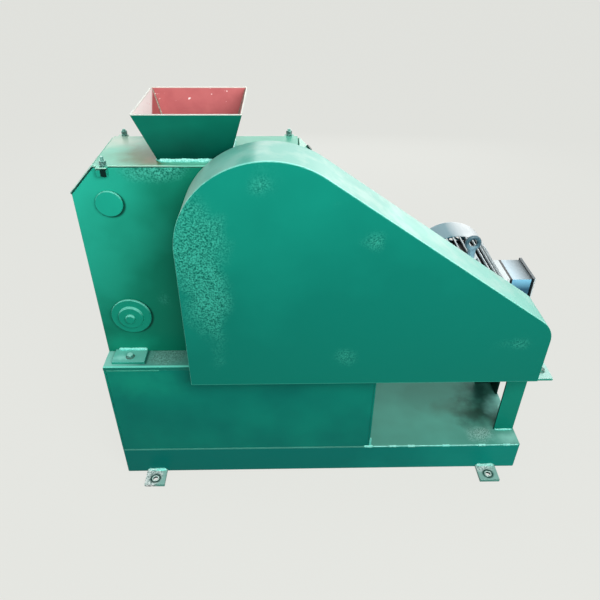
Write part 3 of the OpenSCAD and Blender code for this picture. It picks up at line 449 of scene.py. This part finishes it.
def hexagon_bolt(across, height, washer, thick):
    """Rows of a washer with a rounded rim and a hexagon head chamfered at the top."""
    flat, rim, bevel = across / 2, washer / 2, 0.0004
    return [(rim - bevel, 0, 0), (rim, bevel, 0), (rim, thick - bevel, 0), (rim - bevel, thick, 0),
            (flat, thick, 0.97), (flat, thick + bevel, 1), (flat, thick + height * 0.82, 1),
            (flat * 0.99, thick + height * 0.95, 0.35), (flat * 0.93, thick + height, 0),
            (flat * 0.5, thick + height, 0)]


upwards = (0, 0, 1)
foot_bolt = hexagon_bolt(0.013, 0.006, 0.0132, 0.0004)
foot_washer = [(0.0096, 0, 0), (0.0100, 0.0004, 0), (0.0096, 0.0010, 0), (0.0030, 0.0010, 0)]
bolts, washers, seams = [], [], []
for x in (foot_low[0] + foot_length / 2 + 0.002, foot_high[0] - foot_length / 2):
    for side in (-1, 1):
        y = side * (foot_high[1] - foot_reach / 2 + 0.004)
        bolts.append(fastener((x, y, foot_high[2] + 0.001), upwards, foot_bolt, turn=0.3 * side + x))
        washers.append(fastener((x, y, foot_high[2]), upwards, foot_washer))
        seam = (side * (foot_high[1] - foot_reach + 0.001), foot_high[2] + 0.001)
        seams.append(weld_run((x - 0.032, *seam), (x + 0.034, *seam), 0.0030, (0, side, 1.4), 0.008))
# the washers are dark, painted shade round each head; painted highlights make the heads pale on top
washer_paint = enamel("gloss enamel over washers", "#0d4f44", "#0a3f36", "#5fb5a5", "#06302a", stipple=0.5,
                      patch=all_over, gloss=0.3)
highlit_head = enamel("gloss enamel with painted highlights on bolt heads", "#1d7869", "#125a4d", "#b5f0e4", "#0a4a3f",
                   stipple=0.6, patch=all_over, dust_and_sheen=0.6, film="#a5f0e2", gloss=0.4)
piece("foot_bolts", *joined(bolts), highlit_head, "green_paint", smooth=False)
piece("foot_washers", *joined(washers), washer_paint, "green_paint")
piece("foot_welds", *joined(seams), weld_paint, "green_paint")

# Gasket.
# A strip of rubber that seals the cover and the corner plates, painted over with the body.
# a dark green line that reads as a shadow
gasket_paint = enamel("enamel over gasket rubber", "#063a31", "#042a23", "#0f5a4c", "#03201a")
dress("cover_gasket", gasket_paint)

# Cover and corner plates.
# Steel plates clamped on the gasket by swing bolts, so that the chamber can be opened for cleaning.
low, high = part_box("cover_plate")
cover_top = high[2]
thick = high[2] - low[2]
# the palest green of the machine: a painted reflection of the sky it looks at
cover_paint = enamel("gloss enamel on the cover", "#63d6ba", "#52c0a4", "#9bd3bf", "#2a6f5f", stipple=0.25,
                     film="#b9c9a8", gloss=0.1)
# a pale blot on the rear left corner, and khaki and brown patches beside the hopper
lay_blot(cover_paint, "#e4f4e2", (-0.44, 0.06, cover_top), (0.10, 0.09, 0.1), 0.8, 0.06)
lay_blot(cover_paint, "#3a6029", (-0.350, -0.035, cover_top), (0.12, 0.11, 0.1), 1.0, 0.06)
lay_blot(cover_paint, "#6f5f3c", (-0.335, -0.055, cover_top), (0.05, 0.04, 0.1), 0.7, 0.02)
# a painted highlight on its upright front edge left of the hopper, and painted shadow on the lower half
upright = turned(cover_paint, "Y", -0.3, -0.7)
pale = strip(cover_paint, "X", -0.33, -0.28, 0.8, 0.2)
over(cover_paint, "#c5f0dc", upright, pale)
shadow_below_edge = strip(cover_paint, "Z", low[2] + 0.5 * thick, low[2] + 0.4 * thick)
over(cover_paint, "#08493e", shadow_below_edge, upright, pale)
dress("cover_plate", cover_paint, 0.001)

# the corner plates are as thick as the cover; their edges that face front and back are nearly black
low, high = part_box("corner_plates")
slope = np.array([0.727, 0.0, 0.687])
corner_paint = enamel("gloss enamel on sawn plate", "#3ab89a", "#34a083", "#9bd3bf", "#2a6f5f", stipple=0.25,
                      film="#b9c9a8", gloss=0.25)
sawn = turned(corner_paint, "Y", 0.6, 0.9, either_way=True)
over(corner_paint, "#0b4038", sawn)
# but the outer two fifths of that edge are pale; out is the distance along the slope's normal
tree = corner_paint.node_tree
place = add(tree, "SeparateXYZ", {"Vector": add(tree, "TexCoord").outputs["Object"]}).outputs
out = add(tree, "Math", {0: place["X"], 1: (low[0] + high[0]) / 2}, operation="SUBTRACT")
out = add(tree, "Math", {0: out}, operation="ABSOLUTE")
out = add(tree, "Math", {0: out, 1: slope[0]}, operation="MULTIPLY")
out = add(tree, "Math", {0: place["Z"], 1: slope[2], 2: out}, operation="MULTIPLY_ADD")
outside = slope[0] * (high[0] - low[0]) / 2 + slope[2] * (low[2] + slope[2] * thick)
limits = {"Value": out, "From Min": outside - 0.45 * thick, "From Max": outside - 0.35 * thick}
over(corner_paint, "#b9d9cf", add(tree, "MapRange", limits), sawn)
dress("corner_plates", corner_paint, 0.001)
corner_bolt = hexagon_bolt(0.013, 0.0055, 0.017, 0.0016)
corner_x, corner_z = high[0] - 0.0335, low[2] + 0.0335
corner_bolts = [fastener((corner_x, y, corner_z), slope, corner_bolt, turn=y) for y in (-0.070, 0.070)]

low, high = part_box("clamp_lugs")
stud_x = (low[0] + 0.013, high[0] - 0.010)
stud_y = (low[1] + 0.009, high[1] - 0.006)
stud_radius, stud_root, stud_tip, thread_step = 0.0036, 0.0030, 0.0024, 0.0009
nut_height, nut_washer = 0.0075, 0.0030
nut_top = nut_washer + nut_height
clamp_nut = hexagon_bolt(0.011, nut_height, 0.0125, nut_washer)
clamp_head = hexagon_bolt(0.010, 0.0024, 0.012, 0.0005)
# mid green, black for 5 mm on either side of each stud
lug_coat = enamel("gloss enamel on the clamp lugs", "#1f9a82", "#14846f", "#5cc9b4", "#0a5d50")
for x in stud_x:
    over(lug_coat, "#082521",
         strip(lug_coat, "X", x - 0.0065, x - 0.0050),
         strip(lug_coat, "X", x + 0.0065, x + 0.0050))
dress("clamp_lugs", lug_coat, 0.001)
bolts, nuts = [], []
for x in stud_x:
    for y in stud_y:
        bolts.append(fastener((x, y, cover_top), upwards, clamp_nut, turn=7 * x + 5 * y))
        # the thread stands out of the nut, further at the front
        height = np.arange(0, 0.0075 if y < 0 else 0.003, thread_step)
        crest = np.where(np.arange(len(height)) % 2, stud_radius, stud_root)
        thread = [(r, nut_top + h, 0) for r, h in zip(crest, height)]
        thread.append((stud_tip, nut_top + height[-1] + 0.0007, 0))
        bolts.append(fastener((x, y, cover_top), upwards, thread))
        shank = [(stud_radius, 0, 0), (stud_radius, cover_top - low[2] + 0.003, 0)]
        nuts.append(fastener((x, y, low[2] - 0.003), upwards, shank))
        nuts.append(fastener((x, y, low[2]), (0, 0, -1), clamp_head, turn=3 * y))
# dark green with painted highlights on the tips above the cover, nearly black below it and on the corners
stud_paint = enamel("gloss enamel on studs", "#0c4a40", "#07332b", "#b5f0e4", "#06271f", stipple=0.5,
                    patch=all_over, dust_and_sheen=0.6, film="#9ff5e2", gloss=0.4)
dark_paint = enamel("thin enamel over black steel", "#0e3a33", "#082521", "#2b7a6c", "#051512", stipple=0.4)
piece("clamp_bolts", *joined(bolts), stud_paint, "green_paint", smooth=False)
piece("clamp_nuts", *joined(nuts + corner_bolts), dark_paint, "green_paint", smooth=False)

# Feed hopper.
# Four steel sheets welded into a square funnel and onto the cover: green enamel outside, worn red primer
# inside.
walls = np.array([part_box("hopper_" + side) for side in ("front", "rear", "left", "right")])
low, high = walls[:, 0].min(axis=0), walls[:, 1].max(axis=0)
middle = (low + high) / 2
# the darkest green of the machine, lighter towards the rim
hopper_paint = enamel("gloss enamel outside, red primer inside", "#0b7762", "#023c31", "#1f8a72", "#044a3a",
                      stipple=0.15, fade=((0.15, 0, -1), -0.92, -0.81))
# a face is inside where its normal points back towards the upright line through the hopper's middle
tree = hopper_paint.node_tree
place = add(tree, "TexCoord").outputs["Object"]
normal = add(tree, "NewGeometry").outputs["Normal"]
away = add(tree, "VectorMath", {0: place, 1: middle.tolist()}, operation="SUBTRACT")
away = add(tree, "VectorMath", {0: away, 1: (1, 1, 0)}, operation="MULTIPLY")
back = add(tree, "VectorMath", {0: away, 1: normal}, operation="DOT_PRODUCT").outputs["Value"]
inside = add(tree, "MapRange", {"Value": back, "From Min": -0.006, "From Max": -0.012})
over(hopper_paint, "#be6969", inside)


def blotches(finish, pitch, detail, start, end, most=1.0):
    """A share from 0 to most, where noise of the pitch goes from start to end."""
    tree = finish.node_tree
    place = add(tree, "TexCoord").outputs["Object"]
    grain = add(tree, "TexNoise", {"Vector": place, "Scale": 1 / pitch, "Detail": detail})
    return add(tree, "MapRange", {"Value": grain, "From Min": start, "From Max": end, "To Max": most})


# chalky clouds of 30 mm in the primer, painted light where the left inside wall faces the lamp, up to
# a painted shadow line short of the corner, and a few small chips within 27 mm of the rim
over(hopper_paint, "#a95659", blotches(hopper_paint, 0.03, 4.0, 0.4, 0.75, 0.6), inside)
corner = add(tree, "VectorMath", {0: place, 1: (0, 1, -2.5)}, operation="DOT_PRODUCT").outputs["Value"]
corner = add(tree, "MapRange", {"Value": corner, "From Min": -2.144, "From Max": -2.156})
over(hopper_paint, "#fffaf6", turned(hopper_paint, "X", 0.6, 0.9), inside, corner)
height = add(tree, "SeparateXYZ", {"Vector": place}).outputs["Z"]
chip_depth = 0.0273
chipped = add(tree, "Math", {0: height, 1: high[2] - chip_depth}, operation="GREATER_THAN")
over(hopper_paint, "#f0d6d4", blotches(hopper_paint, 0.007, 1.0, 0.715, 0.74), chipped, inside)
# a painted highlight runs along the rim
rim = turned(hopper_paint, "Z", 0.75, 0.9)
worn = strip(hopper_paint, "Z", high[2] - 0.0022, high[2] - 0.0014, 0.0, 0.85)
over(hopper_paint, "#dfe5db", add(tree, "Math", {0: rim, 1: worn}, operation="MAXIMUM"))
dress("hopper_front hopper_rear hopper_left hopper_right", hopper_paint, 0.0006)

# fat beads round the foot, and thin corner welds inside
half_x, half_y, foot_z = 0.0675, 0.062, low[2] + 0.0015
left, right = middle[0] - half_x, middle[0] + half_x
grids = []
for s in (-1, 1):
    grids.append(weld_run((left, s * half_y, foot_z), (right, s * half_y, foot_z), 0.0048, (0, s, 1), 0.006))
for s in (-1, 1):
    x = middle[0] + s * half_x
    grids.append(weld_run((x, -half_y, foot_z), (x, half_y, foot_z), 0.0045, (s, 0, 1), 0.006))
piece("hopper_welds", *joined(grids), weld_paint, "hopper_paint")
wide_x, wide_y, inset = (high[0] - low[0]) / 2, (high[1] - low[1]) / 2, 0.004
grids = []
for sx in (-1, 1):
    for sy in (-1, 1):
        start = (middle[0] + sx * (half_x - inset), sy * (half_y - inset), low[2] + 0.004)
        end = (middle[0] + sx * (wide_x - inset), sy * (wide_y - inset), high[2] - 0.003)
        grids.append(weld_run(start, end, 0.0015, (-sx, -sy, 0.6), 0.004))
# grey lines with a breath of red
seam_paint = enamel("bare steel weld dusted with primer", "#8d8676", "#756c5f", "#b9b1a0", "#5b4a44",
                    stipple=0.5, patch=all_over, gloss=0.3)
piece("hopper_seams", *joined(grids), seam_paint, "hopper_paint")

# Jaws and drive.
# Cast blocks with toothed plates of manganese steel, seen through the hopper; iron pulleys, steel shafts
# and a pair of rubber belts behind the guard.
# dark grey, speckled all over like a sand casting
iron = enamel("bare cast iron", "#4a4a48", "#3a3938", "#77756f", "#262524", stipple=0.5, patch=all_over)
dress("fixed_jaw_block fixed_jaw_plate moving_jaw moving_jaw_plate flywheel motor_pulley", iron)
dress("crank_shaft motor_shaft", iron)
# dull black with a grain of 3 mm
rubber = bpy.data.materials.new("black belt rubber")
rubber.use_nodes = True
tree = rubber.node_tree
tree.nodes.clear()
place = add(tree, "TexCoord").outputs["Object"]
grain = add(tree, "TexNoise", {"Vector": place, "Scale": 1 / 0.003, "Detail": 2.0})
tone = add(tree, "Mix", {0: grain, 6: linear("#161a19"), 7: linear("#2b3230")}, data_type="RGBA").outputs[2]
dull = add(tree, "Bump", {"Strength": 0.3, "Distance": 0.0003, "Height": grain})
shader = add(tree, "BsdfPrincipled", {"Base Color": tone, "Roughness": 0.7, "Normal": dull})
add(tree, "OutputMaterial", {"Surface": shader})
dress("drive_belts", rubber)

# Pins and bearings.
# Turned steel pins through the body, with round heads, and flanged iron bearing housings for the crank
# shaft, each held by six bolts.
# mid green, with a painted highlight on the upper half of each round edge
pin_paint = enamel("gloss enamel on turned pins", "#1aa188", "#108a72", "#3cba9e", "#0a5a4b", dust_and_sheen=0.48,
                   fade=((0, 0, -1), -0.70, -0.50), tilt=(0.1, 0.6), film="#8feedb", gloss=0.08)
dress("upper_pin lower_pin bearings", pin_paint, 0.0015)
hub = np.mean(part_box("bearings"), axis=0)
flange_face, bolt_ring = 0.094, 0.054
bearing_bolt = hexagon_bolt(0.013, 0.0055, 0.0145, 0.0006)
grids = []
for angle in np.pi / 6 + np.arange(6) * np.pi / 3:
    place = (hub[0] + bolt_ring * np.cos(angle), flange_face, hub[2] + bolt_ring * np.sin(angle))
    grids.append(fastener(place, (0, 1, 0), bearing_bolt, turn=angle))
# dark green, with pale grey-green where the zinc shows
bolt_paint = enamel("enamel over zinc bolts", "#1a6455", "#0f3f37", "#7cc4b3", "#0a2f29", stipple=0.6,
                    patch=all_over, dust_and_sheen=0.15, gloss=0.5)
piece("bearing_bolts", *joined(grids), bolt_paint, "green_paint", smooth=False)

# Belt guard.
# A flat front sheet and a bent band of steel, seam welded and ground, sprayed in one go with the left side
# too wet.
low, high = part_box("guard_front")
# each row is the place along X and Z, the width and height of a spot, and how wet it was
wet_rows = ((-0.262, 0.680, 0.105, 0.200, 0.58), (-0.235, 0.510, 0.075, 0.140, 0.36),
            (-0.130, 0.810, 0.080, 0.070, 0.33), (0.000, 0.770, 0.060, 0.050, 0.18),
            (0.0755, 0.696, 0.045, 0.045, 0.34), (0.035, 0.4185, 0.065, 0.055, 0.36),
            (0.390, 0.450, 0.075, 0.050, 0.28), (-0.235, 0.408, 0.060, 0.040, 0.18))
wet_spots = [((x, low[1], z), (wide, 0.1, tall), amount) for x, z, wide, tall, amount in wet_rows]
# an even green sheet with patches of light and dark pebbles, darkened towards the bottom by painted shade
guard_paint = enamel("gloss enamel on the belt guard", "#0f8a76", "#087464", "#45bda5", "#04493e",
                     stipple=0.7, fade=((0.35, 0, -1), -0.90, -0.47), wet_spots=wet_spots)
# a painted highlight lies along the lowest 2 mm of the sheet
over(guard_paint, "#3aa894", strip(guard_paint, "Z", low[2] + 0.003, low[2] + 0.0015, 0.0, 0.5))
# a painted highlight lies on its rounded outer edge
over(guard_paint, "#8ff0dd", turned(guard_paint, "Y", 0.93, 0.75, 0.45, either_way=True))
dress("guard_front", guard_paint, 0.0015)

# mint at the right end, deeper green to the left: a painted reflection of the sky
band_paint = enamel("gloss enamel on the guard's band", "#86ecd9", "#1c9580", "#8fe0cf", "#125e50",
                    stipple=0.4, fade=((-1, 0, 0), -0.45, 0.05), dust_and_sheen=0.4, tilt=(0.0, 0.8), film="#86dccb",
                    gloss=0.26)
# the band is paler in patches of 50 mm
over(band_paint, "#d2e6dd", blotches(band_paint, 0.05, 4.0, 0.45, 0.68, 0.32))
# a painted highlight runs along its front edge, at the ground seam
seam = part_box("guard_band")[0][1]
over(band_paint, "#9cffee", strip(band_paint, "Y", seam + 0.004, seam + 0.002, 0.0, 0.6))
# its left bend has a painted grey reflection, and the top of the bend a painted pale-green highlight
over(band_paint, "#c5e6dc", turned(band_paint, "X", -0.45, -0.8, 0.75))
lay_blot(band_paint, "#9fe8da", (-0.205, -0.13, 0.83), (0.10, 0.15, 0.07), 0.45, 0.03)
dress("guard_band", band_paint)

# Motor stand.
# A steel plate level with the box, carried at its free end by two posts of angle bar that are welded to the
# floor plate.
# green almost hidden by a pale film, dusty and mostly a painted reflection of the sky
plate_paint = enamel("gloss enamel on the motor plate", "#2ba08a", "#1f8a77", "#7fd3c1", "#125e50",
                     dust_and_sheen=0.75, film="#c6eee6", gloss=0.5)
dress("motor_plate", plate_paint, 0.001)
# mid green in front; painted shade darkens the rear post nearly to black, and the edges that face
# the box
post_paint = enamel("gloss enamel on angle bar", "#0f8672", "#0b7a68", "#3aa590", "#0a584b")
over(post_paint, "#0a1a18", strip(post_paint, "Y", 0.0, 0.01, 0.0, 0.9))
over(post_paint, "#073b32", turned(post_paint, "X", -0.3, -0.8))
dress("motor_posts", post_paint, 0.001)
low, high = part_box("motor_posts")
left, right, foot_z = low[0] + 0.002, high[0] - 0.002, low[2] + 0.001
grids = []
for y, side in ((low[1], -1), (high[1], 1)):
    grids.append(weld_run((left, y, foot_z), (right, y, foot_z), 0.0025, (0, side, 1)))
piece("post_welds", *joined(grids), weld_paint, "green_paint")

# Motor.
# A cast, finned induction motor in blue-grey machine paint, with a pressed steel fan cowl, bolted to its
# plate.
axle = np.mean(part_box("motor_shaft"), axis=0)
# a painted highlight turns it white at the upper right; blue-grey elsewhere
motor_paint = enamel("machine enamel on the motor", "#fbffff", "#427e8e", "#a5c8d0", "#2c4650", stipple=0.15,
                     fade=((-0.6, 0, -1), -0.748, -0.716), dust_and_sheen=0.2, film="#c5dde0", gloss=0.2)
dress("motor_shield fan_cowl", motor_paint)
# pale fin tips over black gaps: painted shade with soot from the root to near the tip
fin_paint = enamel("machine enamel, soot and painted shade between the fins", "#c9d9dc", "#a9bec4", "#e0eaec", "#2c4650",
                   stipple=0.15, dust_and_sheen=0.3, film="#cfd8d5", gloss=0.3)
limits = {"Value": distance(fin_paint, axle.tolist(), (1, 0, 1)), "From Min": 0.0905, "From Max": 0.0870}
over(fin_paint, "#0d1214", add(fin_paint.node_tree, "MapRange", limits))
dress("motor_housing", fin_paint)

# a clear blue, newer than the motor's paint, with painted shade darkening its lower front
low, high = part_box("terminal_box")
pale_end, dark_band_end = 0.441, 0.447
lid_paint = enamel("blue enamel on the terminal box", "#86d0f0", "#2a5a73", "#8fb9c8", "#27485f",
                   stipple=0.1, fade=((0, 0.1, -1), -0.472, -0.446), film="#9fb4b8", gloss=0.3)
# painted shade blackens the lid's flange, and a painted highlight lightens its rim
tree = lid_paint.node_tree
place = add(tree, "SeparateXYZ", {"Vector": add(tree, "TexCoord").outputs["Object"]}).outputs
normal = add(tree, "SeparateXYZ", {"Vector": add(tree, "NewGeometry").outputs["Normal"]}).outputs
side = add(tree, "Math", {0: normal["X"], 1: 0.7}, operation="LESS_THAN")
for depth, code in ((0.0085, "#121c20"), (0.0032, "#c9d6d8")):
    flange = add(tree, "Math", {0: place["X"], 1: high[0] - depth}, operation="GREATER_THAN")
    over(lid_paint, code, flange, side)
# a painted highlight lightens the top, and painted shade darkens it near the flange
level = turned(lid_paint, "Z", 0.5, 0.8)
over(lid_paint, "#e4f4fa", level, 0.7)
over(lid_paint, "#24383f", strip(lid_paint, "X", 0.455, 0.490, 0.0, 0.9), level)
# the box is pale towards the motor, with a black band of 6 mm beyond that
for end, code in ((dark_band_end, "#141b1e"), (pale_end, "#e4efef")):
    over(lid_paint, code, add(tree, "Math", {0: place["X"], 1: end}, operation="LESS_THAN"))
dress("terminal_box", lid_paint, 0.0012)
screw = [(0.0042, 0, 0), (0.0044, 0.0006, 0), (0.0040, 0.0020, 0), (0.0028, 0.0028, 0), (0.0010, 0.0031, 0)]
inset = 0.009
screws = []
for y in (low[1] + inset, high[1] - inset):
    for z in (low[2] + inset, high[2] - inset):
        screws.append(fastener((high[0], y, z), (1, 0, 0), screw))

# grey-blue, darker towards the top of the ring
eye_paint = enamel("dark machine enamel on the lifting eye", "#86b4c4", "#456773", "#a9c6ce", "#263f48",
                   stipple=0.2, fade=((0, 0, 1), 0.55, 0.575), film="#c5dde0", gloss=0.3)
dress("lifting_eye", eye_paint)
# one bolt stands on the tab of the plate, and four hold the motor's feet, which lie behind the shaft's end
plate_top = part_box("motor_plate")[1][2]
tab_x, tab_y = 0.479, -0.160
foot_behind, foot_thick = 0.193, 0.012
half_length, half_width = 0.070, 0.080
foot_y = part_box("motor_shaft")[0][1] + foot_behind
tab_bolt = hexagon_bolt(0.013, 0.0055, 0.017, 0.0016)
motor_bolt = hexagon_bolt(0.017, 0.0065, 0.022, 0.002)
grids = [fastener((tab_x, tab_y, plate_top), upwards, tab_bolt, turn=0.2)]
for sx in (-1, 1):
    for sy in (-1, 1):
        place = (axle[0] + sx * half_width, foot_y + sy * half_length, plate_top + foot_thick)
        grids.append(fastener(place, upwards, motor_bolt, turn=sx + sy))
piece("motor_bolts", *joined(grids), bolt_paint, "green_paint", smooth=False)
piece("terminal_screws", *joined(screws), motor_paint, "motor_paint")

# Floor, light and camera.
# A pale matte ground under a pale sky, soft lamps round the machine, and a camera above its front.
half = 15
floor_mesh = bpy.data.meshes.new("pale floor")
floor_mesh.from_pydata([(-half, -half, 0), (half, -half, 0), (half, half, 0), (-half, half, 0)], [],
                       [(0, 1, 2, 3)])
floor = bpy.data.objects.new("pale_floor", floor_mesh)
bpy.context.scene.collection.objects.link(floor)


def seen_ray(tree):
    """1 for rays from the camera, straight, reflected or through glass; 0 for rays that light a surface."""
    path = add(tree, "LightPath").outputs
    ray = add(tree, "Math", {0: path["Is Camera Ray"], 1: path["Is Glossy Ray"]}, operation="MAXIMUM")
    return add(tree, "Math", {0: ray, 1: path["Is Transmission Ray"]}, operation="MAXIMUM")


# pale to the camera, grey to the light that falls on it, so that it keeps the machine's shadow
matte = bpy.data.materials.new("matte pale floor")
matte.use_nodes = True
tree = matte.node_tree
tree.nodes.clear()
plain = add(tree, "BsdfDiffuse", {"Color": linear("#8d8e8a")})
glow = add(tree, "Emission", {"Color": linear("#f5f6f1"), "Strength": 1.0})
share = add(tree, "Math", {0: seen_ray(tree), 1: 0.8}, operation="MULTIPLY")
seen = add(tree, "MixShader", {0: share, 1: plain, 2: glow})
add(tree, "OutputMaterial", {"Surface": seen})
floor_mesh.materials.append(matte)

world = bpy.data.worlds.new("studio")
bpy.context.scene.world = world
world.use_nodes = True
tree = world.node_tree
tree.nodes.clear()
lit = add(tree, "Background", {"Color": linear("#f4f6f6"), "Strength": 0.36})
seen = add(tree, "Background", {"Color": linear("#e2e3de"), "Strength": 1.0})
both = add(tree, "MixShader", {0: seen_ray(tree), 1: lit, 2: seen})
add(tree, "OutputWorld", {"Surface": both})


def softbox(name, place, aim, width, height, energy):
    """A rectangular lamp at place, turned to face aim."""
    lamp = bpy.data.lights.new(name, "AREA")
    lamp.shape = "RECTANGLE"
    lamp.size = width
    lamp.size_y = height
    lamp.energy = energy
    shown = bpy.data.objects.new(name, lamp)
    bpy.context.scene.collection.objects.link(shown)
    facing = (Vector(place) - Vector(aim)).to_track_quat("Z", "Y").to_matrix().to_4x4()
    shown.matrix_world = Matrix.Translation(place) @ facing
    shown.visible_camera = False
    return shown


softbox("key", (0.4, -1.4, 1.58), (-0.05, -0.1, 0.6), 1.4, 0.9, 36)
softbox("fill from the left", (-2.2, -0.2, 1.3), (-0.3, -0.14, 0.7), 1.5, 1.5, 14)
softbox("fill from behind", (0.2, 2.4, 0.9), (0, 0, 0.45), 2.0, 1.2, 22).visible_glossy = False
softbox("bright yard behind", (0.8, 4.5, 2.4), (0.8, 0, 2.4), 10.0, 4.5, 350).visible_diffuse = False

# angles in radians, and the focal length in pixels of a picture 600 pixels wide
eye = (-0.08704, -1.10181, 1.19523)
yaw, pitch, roll, focal, picture = 0.0269, 0.6028, -0.0079, 565.97, 600
ahead = np.array([np.sin(yaw) * np.cos(pitch), np.cos(yaw) * np.cos(pitch), -np.sin(pitch)])
right = np.array([np.cos(yaw), -np.sin(yaw), 0.0])
down = np.cross(ahead, right)
across = right * np.cos(roll) + down * np.sin(roll)
below = -right * np.sin(roll) + down * np.cos(roll)
lens = bpy.data.cameras.new("camera")
lens.sensor_width = 36.0
lens.lens = lens.sensor_width * focal / picture
camera = bpy.data.objects.new("camera", lens)
bpy.context.scene.collection.objects.link(camera)
turn = np.eye(4)
turn[:3] = np.stack([across, -below, -ahead, eye], axis=1)
camera.matrix_world = Matrix(turn.tolist())
bpy.context.scene.camera = camera
bpy.context.scene.view_settings.view_transform = "Standard"
